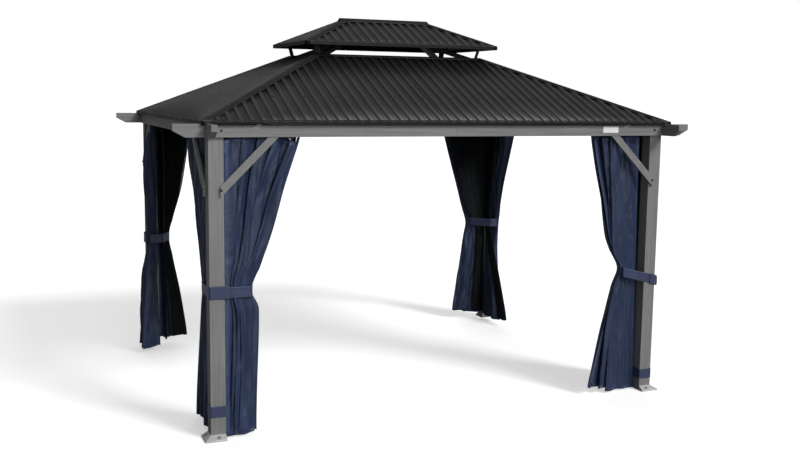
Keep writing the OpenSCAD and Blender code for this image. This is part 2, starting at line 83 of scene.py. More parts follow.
def stretched(tree, vector, scale):
    return put(tree, "ShaderNodeMapping", {"Vector": vector, "Scale": scale}).outputs[0]


def cloudy(tree, vector, scale, detail=3.0, roughness=0.55, distortion=0.0):
    return put(tree, "ShaderNodeTexNoise", {"Vector": vector, "Scale": scale, "Detail": detail,
               "Roughness": roughness, "Distortion": distortion}).outputs[0]


def shared_effect(name, takes, gives):
    """A shader node group with named inputs and outputs, for more than one material."""
    tree = bpy.data.node_groups.new(name, "ShaderNodeTree")
    for label, value in takes.items():
        kind = "Float" if isinstance(value, float) else "Color" if len(value) == 4 else "Vector"
        tree.interface.new_socket(label, in_out="INPUT",
                                  socket_type="NodeSocket" + kind).default_value = value
    for label, kind in gives.items():
        tree.interface.new_socket(label, in_out="OUTPUT", socket_type="NodeSocket" + kind)
    return tree, tree.nodes.new("NodeGroupInput").outputs, tree.nodes.new("NodeGroupOutput").inputs


def use(tree, effect, inputs):
    return put(tree, "ShaderNodeGroup", inputs, node_tree=effect).outputs


def finish_named(name, **settings):
    """A material with one Principled shader, whose plain values are set on its own sockets."""
    material = bpy.data.materials.new(name)
    material.use_nodes = True
    tree = material.node_tree
    tree.nodes.clear()
    shader = tree.nodes.new("ShaderNodeBsdfPrincipled")
    tree.links.new(shader.outputs[0], tree.nodes.new("ShaderNodeOutputMaterial").inputs[0])
    for key, value in settings.items():
        shader.inputs[key.replace("_", " ")].default_value = value
    return material, tree, shader


def bumped(tree, shader, height, depth, strength=1.0):
    bump = put(tree, "ShaderNodeBump", {"Strength": strength, "Distance": depth, "Height": height})
    tree.links.new(bump.outputs[0], shader.inputs["Normal"])


def where(tree):
    return tree.nodes.new("ShaderNodeTexCoord").outputs["Object"]


def marked(tree, name, output="Fac"):
    return put(tree, "ShaderNodeAttribute", attribute_name=name).outputs[output]


# Weather and handling: a faint cloudy tone, edge wear, and dust on what faces up. On the trims and
# caps the lighter edge colour is also painted highlight along their folds.
weather, given, made = shared_effect("weather", {
    "Color": (0.5, 0.5, 0.5, 1), "Position": (0, 0, 0), "Edge": 0.0, "Bare And Highlight": (0.5, 0.5, 0.5, 1),
    "Rubbed And Highlight": 0.5, "Dust": (0.4, 0.38, 0.34, 1), "Dustiness": 0.2, "Roughness": 0.5},
    {"Color": "Color", "Roughness": "Float"})
broad = cloudy(weather, given["Position"], 2.3, 5, 0.6, 0.4)
fine = cloudy(weather, given["Position"], 60, 4, 0.6)
tone = calc(weather, "ADD", spread(weather, broad, 0.3, 0.7, 0.93, 1.05),
            spread(weather, fine, 0.3, 0.7, -0.025, 0.025))
toned = mixed(weather, 1.0, given["Color"],
              put(weather, "ShaderNodeCombineColor", {0: tone, 1: tone, 2: tone}).outputs[0],
              "MULTIPLY")
worn_and_highlit = calc(weather, "MULTIPLY", calc(weather, "MULTIPLY", given["Edge"], given["Rubbed And Highlight"]),
            spread(weather, cloudy(weather, given["Position"], 23, 5, 0.7), 0.42, 0.62))
rubbed_and_highlit = mixed(weather, worn_and_highlit, toned, given["Bare And Highlight"])
upward = put(weather, "ShaderNodeSeparateXYZ",
             {0: weather.nodes.new("ShaderNodeNewGeometry").outputs["Normal"]}).outputs[2]
lying = calc(weather, "MULTIPLY", spread(weather, upward, 0.2, 0.95),
             spread(weather, cloudy(weather, given["Position"], 7, 6, 0.7), 0.3, 0.75))
dusty = calc(weather, "MULTIPLY", lying, given["Dustiness"])
weather.links.new(mixed(weather, dusty, rubbed_and_highlit, given["Dust"]), made["Color"])
duller = calc(weather, "ADD", calc(weather, "MULTIPLY", dusty, 0.3),
              spread(weather, broad, 0.3, 0.7, -0.05, 0.05))
weather.links.new(calc(weather, "ADD", given["Roughness"], duller), made["Roughness"])


def weathered(tree, shader, inputs):
    """Colours a shader through the weather group, at the piece's own place."""
    out = use(tree, weather, {"Position": where(tree), **inputs})
    tree.links.new(out["Color"], shader.inputs["Base Color"])
    tree.links.new(out["Roughness"], shader.inputs["Roughness"])


silver, tree, shader = finish_named("light silver coat", Metallic=0.35, Specular_IOR_Level=0.5)
weathered(tree, shader, {
    "Color": (0.60, 0.60, 0.59, 1), "Edge": marked(tree, "edge"), "Bare And Highlight": (0.78, 0.78, 0.77, 1),
    "Rubbed And Highlight": 0.8, "Dust": (0.34, 0.32, 0.28, 1), "Dustiness": 0.35, "Roughness": 0.38})
bumped(tree, shader, cloudy(tree, where(tree), 900, 2), 0.0002, 0.35)


def object_of(mesh, name, material):
    piece = bpy.data.objects.new(name, mesh)
    bpy.context.scene.collection.objects.link(piece)
    mesh.materials.clear()
    mesh.materials.append(material)
    return piece


def mesh_of(bm, name):
    mesh = bpy.data.meshes.new(name)
    bm.to_mesh(mesh)
    bm.free()
    return mesh


def fixed(piece, slot, *nodes):
    """Sets a finished piece on the frame, in place of the CAD nodes that it stands for."""
    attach(piece, "root")
    if nodes:
        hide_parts(*nodes)


def dressed(node, name, material, slot, fold=0.0016, grain=None):
    """Stands for a CAD node: the same shape with its sharp corners rounded as folded metal is."""
    bm = bmesh.new()
    bm.from_mesh(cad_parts[node].data)
    bmesh.ops.remove_doubles(bm, verts=bm.verts, dist=1e-5)
    bmesh.ops.dissolve_limit(bm, angle_limit=math.radians(0.8), verts=bm.verts, edges=bm.edges)
    sharp = [e for e in bm.edges if len(e.link_faces) == 2
             and e.calc_face_angle() > math.radians(15)]
    mark = bm.faces.layers.float.new("edge")
    folds = bmesh.ops.bevel(bm, geom=sharp, offset=fold, offset_type="OFFSET", segments=2,
                            profile=0.5, affect="EDGES", clamp_overlap=True)["faces"]
    for face in folds:
        face[mark] = 1.0
        face.smooth = True
    mesh = mesh_of(bm, name)
    if grain:
        along = mesh.attributes.new("grain", "FLOAT_VECTOR", "POINT")
        along.data.foreach_set("vector",
                               np.array([grain(v.co) for v in mesh.vertices], np.float32).ravel())
    fixed(object_of(mesh, name, material), slot, node)


for corner in CORNERS:
    dressed("foot_" + corner, "foot_skirt_" + corner, silver, "feet", 0.0022)


# ---- Posts ---------------------------------------------------------------------------
# Square tube posts with a matt grey film printed and lightly pressed to look like
# sawn wood, its grain running up the post.

wood_print, given, made = shared_effect("printed wood grain", {
    "Along": (0, 0, 0), "Light": (0.3, 0.3, 0.3, 1), "Dark": (0.1, 0.1, 0.1, 1)},
    {"Color": "Color", "Height": "Float"})
wander = cloudy(wood_print, stretched(wood_print, given["Along"], (1.1, 5, 5)), 1.0, 2)
turned = put(wood_print, "ShaderNodeVectorMath", {0: given["Along"],
             1: put(wood_print, "ShaderNodeCombineXYZ",
                    {1: calc(wood_print, "MULTIPLY", wander, 0.03)}).outputs[0]},
             operation="ADD").outputs[0]
streaks = cloudy(wood_print, stretched(wood_print, turned, (2.4, 210, 210)), 1.0, 4, 0.6, 0.2)
hairs = cloudy(wood_print, stretched(wood_print, turned, (9, 620, 620)), 1.0, 3, 0.7)
boards = cloudy(wood_print, stretched(wood_print, turned, (0.9, 26, 26)), 1.0, 4, 0.6, 1.2)
depth = calc(wood_print, "ADD", calc(wood_print, "MULTIPLY", streaks, 0.55),
             calc(wood_print, "ADD", calc(wood_print, "MULTIPLY", hairs, 0.25),
                  calc(wood_print, "MULTIPLY", boards, 0.35)))
printed = mixed(wood_print, spread(wood_print, depth, 0.40, 0.74), given["Dark"], given["Light"])
wood_print.links.new(printed, made["Color"])
wood_print.links.new(calc(wood_print, "ADD", streaks, calc(wood_print, "MULTIPLY", hairs, 0.5)),
                     made["Height"])

wood_film, tree, shader = finish_named("grey wood-print film", Specular_IOR_Level=0.4)
grained = use(tree, wood_print, {"Along": marked(tree, "grain", "Vector"),
              "Light": (0.212, 0.211, 0.209, 1), "Dark": (0.128, 0.127, 0.126, 1)})
weathered(tree, shader, {
    "Color": grained["Color"], "Edge": marked(tree, "edge"), "Bare And Highlight": (0.40, 0.39, 0.37, 1),
    "Rubbed And Highlight": 0.45, "Dustiness": 0.18, "Roughness": 0.52})
bumped(tree, shader, grained["Height"], 0.0004, 0.5)

for corner in CORNERS:
    dressed("post_" + corner, "post_tube_" + corner, wood_film, "wood_grain_metal", 0.0024,
            lambda at: (at.z, at.x, at.y))


# ---- Beams ---------------------------------------------------------------------------
# Slim box beams outside the posts, in the same film with the grain along them. Each is
# bolted through at the posts and runs on as a tail cut to a slope underneath.

for side in ("front", "back"):
    dressed(side + "_beam", side + "_beam_box", wood_film, "wood_grain_metal", 0.002,
            lambda at: (at.x, at.y, at.z))
for side in ("left", "right"):
    dressed(side + "_beam", side + "_beam_box", wood_film, "wood_grain_metal", 0.002,
            lambda at: (at.y, at.x, at.z))


# ---- Corner braces -------------------------------------------------------------------
# A flat bar in the same film runs at 45 degrees from each post to each beam, cut
# plumb where it laps the post.

BRACE_FACE = abs(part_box("braces_front_left")[0].y)
DIAGONAL = 0.7071


def brace_grain(at):
    """A place along and across a brace, on whichever side of the corner it stands."""
    across = abs(at.x) if abs(abs(at.y) - BRACE_FACE) < 0.03 else abs(at.y)
    return ((at.z - across) * DIAGONAL, (at.z + across) * DIAGONAL, at.x + at.y)


for corner in CORNERS:
    dressed("braces_" + corner, "brace_pair_" + corner, wood_film, "wood_grain_metal", 0.0015,
            brace_grain)


# ---- Bolts and anchors ---------------------------------------------------------------
# Dark hexagon bolts with washers hold the beams and braces; plated ones anchor the feet.

BOLT = {"Head": 0.0062, "Rise": 0.0044, "Washer": 0.0092}
ANCHOR = {"Head": 0.0075, "Rise": 0.005, "Washer": 0.0125}


def grown(host, tree, inputs):
    """Runs a Geometry Nodes tree on a host object and keeps the result as its plain mesh."""
    modifier = host.modifiers.new("grown", "NODES")
    modifier.node_group = tree
    for item in tree.interface.items_tree:
        if item.item_type == "SOCKET" and item.in_out == "INPUT" and item.name in inputs:
            modifier[item.identifier] = inputs[item.name]
    view = bpy.context.evaluated_depsgraph_get()
    mesh = bpy.data.meshes.new_from_object(host.evaluated_get(view), depsgraph=view)
    host.modifiers.remove(modifier)
    host.data = mesh
    mesh.name = host.name
    return host


def growing(name, takes):
    """A Geometry Nodes tree that takes a host mesh and named sizes."""
    tree = bpy.data.node_groups.new(name, "GeometryNodeTree")
    tree.interface.new_socket("Geometry", in_out="INPUT", socket_type="NodeSocketGeometry")
    for label, value in takes.items():
        kind = {float: "Float", int: "Int", str: "Material"}[type(value)]
        plug = tree.interface.new_socket(label, in_out="INPUT", socket_type="NodeSocket" + kind)
        if kind != "Material":
            plug.default_value = value
    tree.interface.new_socket("Geometry", in_out="OUTPUT", socket_type="NodeSocketGeometry")
    return tree, tree.nodes.new("NodeGroupInput").outputs, tree.nodes.new("NodeGroupOutput").inputs


def on_points(tree, given, made, shape):
    """Ends a tree: the shape stands on each host point, turned to the way it faces."""
    facing = put(tree, "GeometryNodeInputNamedAttribute", {"Name": "facing"},
                 data_type="FLOAT_VECTOR").outputs[0]
    turn = put(tree, "FunctionNodeAlignRotationToVector", {"Vector": facing}, axis="Z").outputs[0]
    stood = put(tree, "GeometryNodeInstanceOnPoints",
                {"Points": given["Geometry"], "Instance": shape, "Rotation": turn})
    real = put(tree, "GeometryNodeRealizeInstances", {0: stood.outputs[0]}).outputs[0]
    coated = put(tree, "GeometryNodeSetMaterial",
                 {"Geometry": real, "Material": given["Material"]}).outputs[0]
    tree.links.new(coated, made["Geometry"])


hex_bolt, given, made = growing("hexagon bolt", {"Head": 0.008, "Rise": 0.005, "Washer": 0.012,
                                                 "Sides": 6, "Material": ""})
washer = put(hex_bolt, "GeometryNodeMeshCylinder",
             {"Vertices": 14, "Radius": given["Washer"], "Depth": 0.0016}).outputs[0]
head = put(hex_bolt, "GeometryNodeMeshCone",
           {"Vertices": given["Sides"], "Radius Bottom": given["Head"],
           "Radius Top": given["Head"], "Depth": given["Rise"]}).outputs[0]
crown = put(hex_bolt, "GeometryNodeMeshCone",
            {"Vertices": given["Sides"], "Radius Bottom": given["Head"],
            "Radius Top": calc(hex_bolt, "MULTIPLY", given["Head"], 0.72),
            "Depth": 0.0012}).outputs[0]
raised = put(hex_bolt, "GeometryNodeTransform", {"Geometry": crown, "Translation":
             put(hex_bolt, "ShaderNodeCombineXYZ", {2: given["Rise"]}).outputs[0]}).outputs[0]
bolt = put(hex_bolt, "GeometryNodeJoinGeometry", {0: washer})
hex_bolt.links.new(head, bolt.inputs[0])
hex_bolt.links.new(raised, bolt.inputs[0])
on_points(hex_bolt, given, made, bolt.outputs[0])

dark_steel, tree, shader = finish_named("blackened bolt steel", Metallic=0.7)
weathered(tree, shader, {
    "Color": (0.045, 0.044, 0.043, 1), "Bare And Highlight": (0.2, 0.2, 0.2, 1), "Dustiness": 0.3,
    "Roughness": 0.42})
bumped(tree, shader, cloudy(tree, where(tree), 700, 2), 0.0002, 0.3)

plated, tree, shader = finish_named("zinc-plated steel", Metallic=0.85)
weathered(tree, shader, {
    "Color": (0.36, 0.36, 0.35, 1), "Bare And Highlight": (0.5, 0.5, 0.5, 1), "Dust": (0.2, 0.18, 0.15, 1),
    "Dustiness": 0.4, "Roughness": 0.4})


def on_spots(name, spots, tree, material, slot, **sizes):
    """One piece: a shape repeated on spots, each a point and the way it faces."""
    mesh = bpy.data.meshes.new(name)
    mesh.from_pydata([tuple(at) for at, _ in spots], [], [])
    facing = mesh.attributes.new("facing", "FLOAT_VECTOR", "POINT")
    facing.data.foreach_set("vector",
                            np.array([tuple(way) for _, way in spots], np.float32).ravel())
    piece = bpy.data.objects.new(name, mesh)
    bpy.context.scene.collection.objects.link(piece)
    fixed(grown(piece, tree, {"Material": material, **sizes}), slot)


post_low, post_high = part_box("post_front_left")
POST_X, POST_Y, POST = -post_low.x, -post_low.y, post_high.x - post_low.x
beam_low, beam_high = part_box("front_beam")
BEAM_FACE = -beam_low.y
BEAM_OUT = BEAM_FACE - POST_Y
BEAM_FOOT, BEAM_TOP = beam_low.z, beam_high.z
BRACE_OUT = 0.0193
UNDER_WASHER = 0.0006

# How far in from the post's outer edge each bolt stands, its height, and the face it lies on.
spots = []
for sx, sy in CORNERS.values():
    for inset, z, out in ((0.081, BEAM_FOOT + 0.043, BEAM_OUT),
                          (0.079, BEAM_FOOT - 0.340, BRACE_OUT)):
        spots.append(((sx * (POST_X - inset), sy * (POST_Y + out + UNDER_WASHER), z), (0, sy, 0)))
        spots.append(((sx * (POST_X + out + UNDER_WASHER), sy * (POST_Y - inset), z), (sx, 0, 0)))
on_spots("frame_bolts", spots, hex_bolt, dark_steel, "dark_frame", **BOLT)

# The anchors stand square on the sloping skirt, one on each outer side of a foot.
ANCHOR_OUT, ANCHOR_UP = 0.028, 0.0226
LEAN_OUT, LEAN_UP = 0.515, 0.857
spots = []
for sx, sy in CORNERS.values():
    middle_x, middle_y = sx * (POST_X - POST / 2), sy * (POST_Y - POST / 2)
    spots.append(((sx * (POST_X + ANCHOR_OUT), middle_y, ANCHOR_UP), (sx * LEAN_OUT, 0, LEAN_UP)))
    spots.append(((middle_x, sy * (POST_Y + ANCHOR_OUT), ANCHOR_UP), (0, sy * LEAN_OUT, LEAN_UP)))
on_spots("foot_anchors", spots, hex_bolt, plated, "feet", **ANCHOR)


# ---- Blank plate ---------------------------------------------------------------------
# A small thin plate riveted to the front beam, painted off-white and left bare.

PLATE_LEFT, PLATE_RIGHT, PLATE_FOOT, PLATE_TOP = 1.198, 1.332, 2.0225, 2.0690
PLATE_THICK = 0.0016
plate_x, plate_z = (PLATE_LEFT + PLATE_RIGHT) / 2, (PLATE_FOOT + PLATE_TOP) / 2
bm = bmesh.new()
bmesh.ops.create_cube(bm, size=1.0)
bmesh.ops.scale(bm, vec=(PLATE_RIGHT - PLATE_LEFT, PLATE_THICK, PLATE_TOP - PLATE_FOOT),
                verts=bm.verts)
bmesh.ops.translate(bm, vec=(plate_x, -BEAM_FACE - 0.0011, plate_z), verts=bm.verts)
standing = [e for e in bm.edges if abs((e.verts[0].co - e.verts[1].co).y) > 0.001]
bmesh.ops.bevel(bm, geom=standing, offset=0.004, segments=4, profile=0.5, affect="EDGES")
around = [e for e in bm.edges if e.calc_face_angle(0) > math.radians(60)]
bmesh.ops.bevel(bm, geom=around, offset=0.0004, segments=2, profile=0.5, affect="EDGES")
white_paint, tree, shader = finish_named("off-white plate paint")
weathered(tree, shader, {
    "Color": (0.72, 0.72, 0.71, 1), "Position": stretched(tree, where(tree), (3, 3, 3)),
    "Bare And Highlight": (0.5, 0.5, 0.5, 1), "Dustiness": 0.2, "Roughness": 0.35})
fixed(object_of(mesh_of(bm, "blank_plate"), "blank_plate", white_paint), "wood_grain_metal")
RIVET = {"Head": 0.0019, "Rise": 0.0006, "Washer": 0.0026, "Sides": 10}
spots = [((x, -BEAM_FACE - 0.0019, plate_z), (0, -1, 0))
         for x in (PLATE_LEFT + 0.007, PLATE_RIGHT - 0.007)]
on_spots("plate_rivets", spots, hex_bolt, plated, "wood_grain_metal", **RIVET)


# ---- Roof frame ----------------------------------------------------------------------
# Folded steel rafters, purlins, ridge bars and vent struts under the sheets, with a
# black powder coat that has a very fine orange-peel surface.

powder, tree, shader = finish_named("black powder coat", Specular_IOR_Level=0.45)
weathered(tree, shader, {
    "Color": (0.020, 0.020, 0.0205, 1), "Edge": marked(tree, "edge"), "Bare And Highlight": (0.09, 0.09, 0.09, 1),
    "Rubbed And Highlight": 0.5, "Dust": (0.12, 0.115, 0.10, 1), "Dustiness": 0.35, "Roughness": 0.46})
bumped(tree, shader, cloudy(tree, where(tree), 1400, 2), 0.00015, 0.4)

for node in ("hip_rafters", "mid_rafters", "ridge_beams", "vent_purlins", "upper_hip_rafters",
             "vent_struts"):
    dressed(node, node + "_folded", powder, "dark_frame", 0.0016)


# ---- Roof sheets ---------------------------------------------------------------------
# Roll-formed ribbed sheets, charcoal and satin, laid up the slope and cut to the hips.
# Each long or short side has four lapped sheets below and up to three above.

eave_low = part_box("lower_roof_front")[0]
EAVE_Y, EAVE_X, EAVE_Z = -eave_low.y, -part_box("lower_roof_left")[0].x, eave_low.z
top_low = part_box("upper_roof_front")[0]
TOP_Y, TOP_X, TOP_Z = -top_low.y, -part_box("upper_roof_left")[0].x, top_low.z
PITCH = math.radians(23.75)
FALL = math.tan(PITCH)
LOWER_RUN = 1.089
RIB = 0.012
WIDEST_RIB_SPACING = 0.076
SHEET_METAL = 0.0009
SHEET_LAP = 0.0014
SHEET_OVER = 0.0003
COLUMNS_A_RIB = 20
CREST_UP = 0.0132 / math.cos(PITCH)
# How far each side is turned about the middle of the roof, from the front.
SIDES = {"front": 0, "right": 90, "back": 180, "left": -90}


def all_sides(x, y):
    """For each side: its name, its turn, half its length, and how far out it stands."""
    for side, turn in SIDES.items():
        yield side, turn, *((x, y) if side in ("front", "back") else (y, x))


def lower_ribs(half):
    """Ribs in half a side: an even number, so that a lap falls on every quarter."""
    return math.ceil(half / 2 / WIDEST_RIB_SPACING) * 2


def upper_ribs(half):
    return math.ceil(half / WIDEST_RIB_SPACING)


def thickened(piece, thickness, offset=0.0):
    """Gives a sheet its wall: half to each side, or all of it inwards with an offset of -1."""
    solid = piece.modifiers.new("thickness", "SOLIDIFY")
    solid.thickness, solid.offset = thickness, offset
    return piece


ribbed, given, made = growing("ribbed sheet", {
    "Start": -1.0, "End": 1.0, "Half Side": 1.5, "Run": 1.0, "Hip Gap": 0.002,
    "Rib Spacing": 0.0744, "Rib Height": RIB, "Crest Half": 0.0112, "Flank": 0.0074,
    "Lap": SHEET_LAP, "Seam": 0.0, "Eave Out": 1.45, "Eave Height": 2.0, "Pitch": 0.4,
    "Turn": 0.0, "Columns": 100, "Material": ""})
wide = calc(ribbed, "SUBTRACT", given["End"], given["Start"])
grid = put(ribbed, "GeometryNodeMeshGrid",
           {"Size X": wide, "Size Y": 1.0, "Vertices X": given["Columns"], "Vertices Y": 4})
spot = put(ribbed, "ShaderNodeSeparateXYZ",
           {0: ribbed.nodes.new("GeometryNodeInputPosition").outputs[0]}).outputs
across = calc(ribbed, "ADD", spot[0],
              calc(ribbed, "MULTIPLY", calc(ribbed, "ADD", given["Start"], given["End"]), 0.5))
share = calc(ribbed, "ADD", spot[1], 0.5)
count = calc(ribbed, "DIVIDE", across, given["Rib Spacing"])
off_share = calc(ribbed, "ABSOLUTE", calc(ribbed, "SUBTRACT", calc(ribbed, "FRACT", count), 0.5))
off_rib = calc(ribbed, "MULTIPLY", given["Rib Spacing"], off_share)
flank_end = calc(ribbed, "ADD", given["Crest Half"], given["Flank"])
rib = put(ribbed, "ShaderNodeMapRange",
          {0: off_rib, 1: given["Crest Half"], 2: flank_end, 3: 1.0, 4: 0.0}).outputs[0]
from_lap = calc(ribbed, "SUBTRACT", across, given["Start"])
lift = calc(ribbed, "MULTIPLY", given["Lap"], spread(ribbed, from_lap, 0.014, 0.024, 1.0, 0.0))
# A dark line along the lapped edge of each sheet, kept for painting the lap's shadow.
stitch_line_and_lap_shadow = calc(ribbed, "MULTIPLY", given["Seam"], spread(ribbed, from_lap, 0.003, 0.006, 1.0, 0.0))
height = calc(ribbed, "ADD", calc(ribbed, "MULTIPLY", rib, given["Rib Height"]), lift)
from_hip = calc(ribbed, "SUBTRACT", given["Half Side"], calc(ribbed, "ABSOLUTE", across))
hip_cut = calc(ribbed, "SUBTRACT", from_hip, given["Hip Gap"])
long = calc(ribbed, "MAXIMUM", 0.001, calc(ribbed, "MINIMUM", given["Run"], hip_cut))
up_plan = calc(ribbed, "MULTIPLY", share, long)
new_y = calc(ribbed, "SUBTRACT", calc(ribbed, "SUBTRACT", up_plan, given["Eave Out"]),
             calc(ribbed, "MULTIPLY", height, calc(ribbed, "SINE", given["Pitch"])))
climbed = calc(ribbed, "MULTIPLY", up_plan, calc(ribbed, "TANGENT", given["Pitch"]))
new_z = calc(ribbed, "ADD", calc(ribbed, "ADD", given["Eave Height"], climbed),
             calc(ribbed, "MULTIPLY", height, calc(ribbed, "COSINE", given["Pitch"])))
on_slope = put(ribbed, "ShaderNodeCombineXYZ", {0: across, 1: up_plan, 2: rib}).outputs[0]
noted = put(ribbed, "GeometryNodeStoreNamedAttribute",
            {"Geometry": grid.outputs[0], "Name": "slope", "Value": on_slope},
            data_type="FLOAT_VECTOR", domain="POINT").outputs[0]
noted = put(ribbed, "GeometryNodeStoreNamedAttribute",
            {"Geometry": noted, "Name": "stitch_line_and_lap_shadow", "Value": stitch_line_and_lap_shadow},
            data_type="FLOAT", domain="POINT").outputs[0]
bent = put(ribbed, "GeometryNodeSetPosition", {"Geometry": noted, "Position":
           put(ribbed, "ShaderNodeCombineXYZ",
               {0: across, 1: new_y, 2: new_z}).outputs[0]}).outputs[0]
smooth = put(ribbed, "GeometryNodeSetShadeSmooth", {"Geometry": bent}).outputs[0]
round_turn = put(ribbed, "ShaderNodeCombineXYZ", {2: given["Turn"]}).outputs[0]
placed = put(ribbed, "GeometryNodeTransform",
             {"Geometry": smooth, "Rotation": round_turn}).outputs[0]
real = put(ribbed, "GeometryNodeRealizeInstances", {0: placed}).outputs[0]
ribbed.links.new(put(ribbed, "GeometryNodeSetMaterial",
                     {"Geometry": real, "Material": given["Material"]}).outputs[0],
                 made["Geometry"])

# Rain leaves faint runs down a slope, with grime in soft patches along them.
rain, given, made = shared_effect("rain runs", {
    "Color": (0.1, 0.1, 0.1, 1), "Slope": (0, 0, 0), "Grime": (0.1, 0.1, 0.09, 1), "Amount": 0.3},
    {"Color": "Color", "Mask": "Float"})
runs = cloudy(rain, stretched(rain, given["Slope"], (55, 1.6, 0)), 1.0, 5, 0.65, 0.2)
soft = cloudy(rain, stretched(rain, given["Slope"], (4, 3, 0)), 1.0, 4, 0.6)
patchy = calc(rain, "MULTIPLY", spread(rain, runs, 0.42, 0.72),
              spread(rain, soft, 0.3, 0.7, 0.35, 1.0))
mask = calc(rain, "MULTIPLY", patchy, given["Amount"])
rain.links.new(mixed(rain, mask, given["Color"], given["Grime"]), made["Color"])
rain.links.new(mask, made["Mask"])

charcoal, tree, shader = finish_named("satin charcoal sheet", Metallic=0.1, Specular_IOR_Level=0.5)
slope = marked(tree, "slope", "Vector")
rise = put(tree, "ShaderNodeSeparateXYZ", {0: slope}).outputs[2]
# Painted light: the profile's valleys are painted darker than its crests as shade, and a light line
# is painted along each crest's edges as a highlight.
body = mixed(tree, rise, (0.019, 0.019, 0.0192, 1), (0.034, 0.034, 0.0345, 1))
painted_crest_highlight = calc(tree, "MULTIPLY", spread(tree, rise, 0.55, 0.97),
              spread(tree, rise, 0.97, 1.0, 1.0, 0.0))
body = mixed(tree, painted_crest_highlight, body, (0.085, 0.085, 0.086, 1))
# A dark line is painted along each lapped edge as the lap's shadow.
body = mixed(tree, marked(tree, "stitch_line_and_lap_shadow"), body, (0.003, 0.003, 0.003, 1))
washed = use(tree, rain, {"Color": body, "Slope": slope, "Grime": (0.060, 0.058, 0.054, 1),
                          "Amount": 0.22})
out = use(tree, weather, {"Color": washed["Color"], "Position": where(tree),
                          "Dust": (0.10, 0.097, 0.09, 1), "Dustiness": 0.06, "Roughness": 0.46})
# Painted shade: under the upper roof the lower sheets are painted darker towards their tops, where
# the upper roof's overhang keeps light from them.
level = put(tree, "ShaderNodeSeparateXYZ", {0: where(tree)}).outputs[2]
painted_overhang_shade = calc(tree, "MULTIPLY", spread(tree, level, 2.33, 2.57, 0.0, 0.62),
                 spread(tree, level, 2.612, 2.620, 1.0, 0.0))
tree.links.new(mixed(tree, painted_overhang_shade, out["Color"], (0.008, 0.008, 0.0082, 1)),
               shader.inputs["Base Color"])
tree.links.new(calc(tree, "ADD", out["Roughness"], calc(tree, "MULTIPLY", washed["Mask"], 0.15)),
               shader.inputs["Roughness"])
bumped(tree, shader, cloudy(tree, where(tree), 260, 3), 0.0004, 0.25)


def roof_side(node, name, sheets, half, run, eave_out, eave_z, spacing, turn):
    """The sheets of one side of a roof, from one rib number to the next, as one piece."""
    made_sheets = []
    for first, last in sheets:
        host = object_of(bpy.data.meshes.new("sheet"), "sheet", charcoal)
        lap = spacing / 10 if first > sheets[0][0] else 0.0
        tail = spacing / 10 if last < sheets[-1][1] else 0.0
        grown(host, ribbed, {
            "Start": first * spacing - lap, "End": last * spacing + tail,
            "Seam": (1.0 if first == -1 else 0.35) if lap else 0.0,
            "Lap": SHEET_LAP if lap else 0.0,
            "Half Side": half, "Run": run, "Rib Spacing": spacing, "Rib Height": RIB + SHEET_METAL,
            "Eave Out": eave_out, "Eave Height": eave_z + SHEET_OVER, "Pitch": PITCH,
            "Turn": math.radians(turn),
            "Columns": int((last - first) * COLUMNS_A_RIB) + 1 + 2 * bool(lap) + 2 * bool(tail),
            "Material": charcoal})
        made_sheets.append(host)
    bm = bmesh.new()
    for host in made_sheets:
        bm.from_mesh(host.data)
        bpy.data.objects.remove(host)
    bmesh.ops.remove_doubles(bm, verts=bm.verts, dist=2e-6)
    piece = object_of(mesh_of(bm, name), name, charcoal)
    fixed(thickened(piece, SHEET_METAL, -1.0), "roof_sheet", node)


for below, above in zip(all_sides(EAVE_X, EAVE_Y), all_sides(TOP_X, TOP_Y)):
    side, turn, half, out = below
    ribs = lower_ribs(half)
    quarter = ribs // 2
    laps = [-ribs, -quarter - 1, -1, quarter - 1, ribs]
    roof_side("lower_roof_" + side, "lower_sheets_" + side, list(zip(laps, laps[1:])), half,
              LOWER_RUN, out, EAVE_Z, half / ribs, turn)
    side, turn, half, out = above
    ribs = upper_ribs(half)
    third = round(ribs / 3)
    laps = [-ribs, -third, third, ribs] if side in ("front", "back") else [-ribs, ribs]
    roof_side("upper_roof_" + side, "upper_sheets_" + side, list(zip(laps, laps[1:])), half,
              TOP_Y - 0.002, out, TOP_Z, half / ribs, turn)


# ---- Eave trims ----------------------------------------------------------------------
# A folded strip hooks over the sheet ends at each eave, with a narrow flange on the ribs
# and a deep face hemmed at the bottom. It is notched round the beam tails.

# Painted light on the trims, caps and flashings: what is marked 'under' is painted far darker as
# shade, and the lighter edge colour at the marked folds is painted highlight as well as wear.
trim_coat, tree, shader = finish_named("satin charcoal trim", Specular_IOR_Level=0.16)
shaded = mixed(tree, marked(tree, "under"), (0.016, 0.016, 0.0163, 1), (0.0042, 0.0042, 0.0044, 1))
weathered(tree, shader, {
    "Color": shaded, "Edge": marked(tree, "edge"), "Bare And Highlight": (0.060, 0.060, 0.061, 1),
    "Rubbed And Highlight": 0.8, "Dust": (0.08, 0.078, 0.072, 1), "Dustiness": 0.08, "Roughness": 0.42})
bumped(tree, shader, cloudy(tree, where(tree), 300, 3), 0.0003, 0.25)


def woven(name, rows, material, thickness=0.0, marks=None, smooth=True, ring=False):
    """A sheet through rows of points, which may close to a ring; marks are values kept at each."""
    rows = np.asarray(rows, float)
    many, each = rows.shape[:2]
    faces = [(r * each + c, (r + 1) % many * each + c, (r + 1) % many * each + c + 1,
              r * each + c + 1)
             for r in range(many if ring else many - 1) for c in range(each - 1)]
    mesh = bpy.data.meshes.new(name)
    mesh.from_pydata(rows.reshape(-1, 3).tolist(), [], faces)
    mesh.polygons.foreach_set("use_smooth", [smooth] * len(faces))
    for key, values in (marks or {}).items():
        values = np.asarray(values, np.float32)
        kind, field = ("FLOAT_VECTOR", "vector") if values.ndim == 3 else ("FLOAT", "value")
        mesh.attributes.new(key, kind, "POINT").data.foreach_set(field, values.ravel())
    piece = object_of(mesh, name, material)
    return thickened(piece, thickness) if thickness else piece


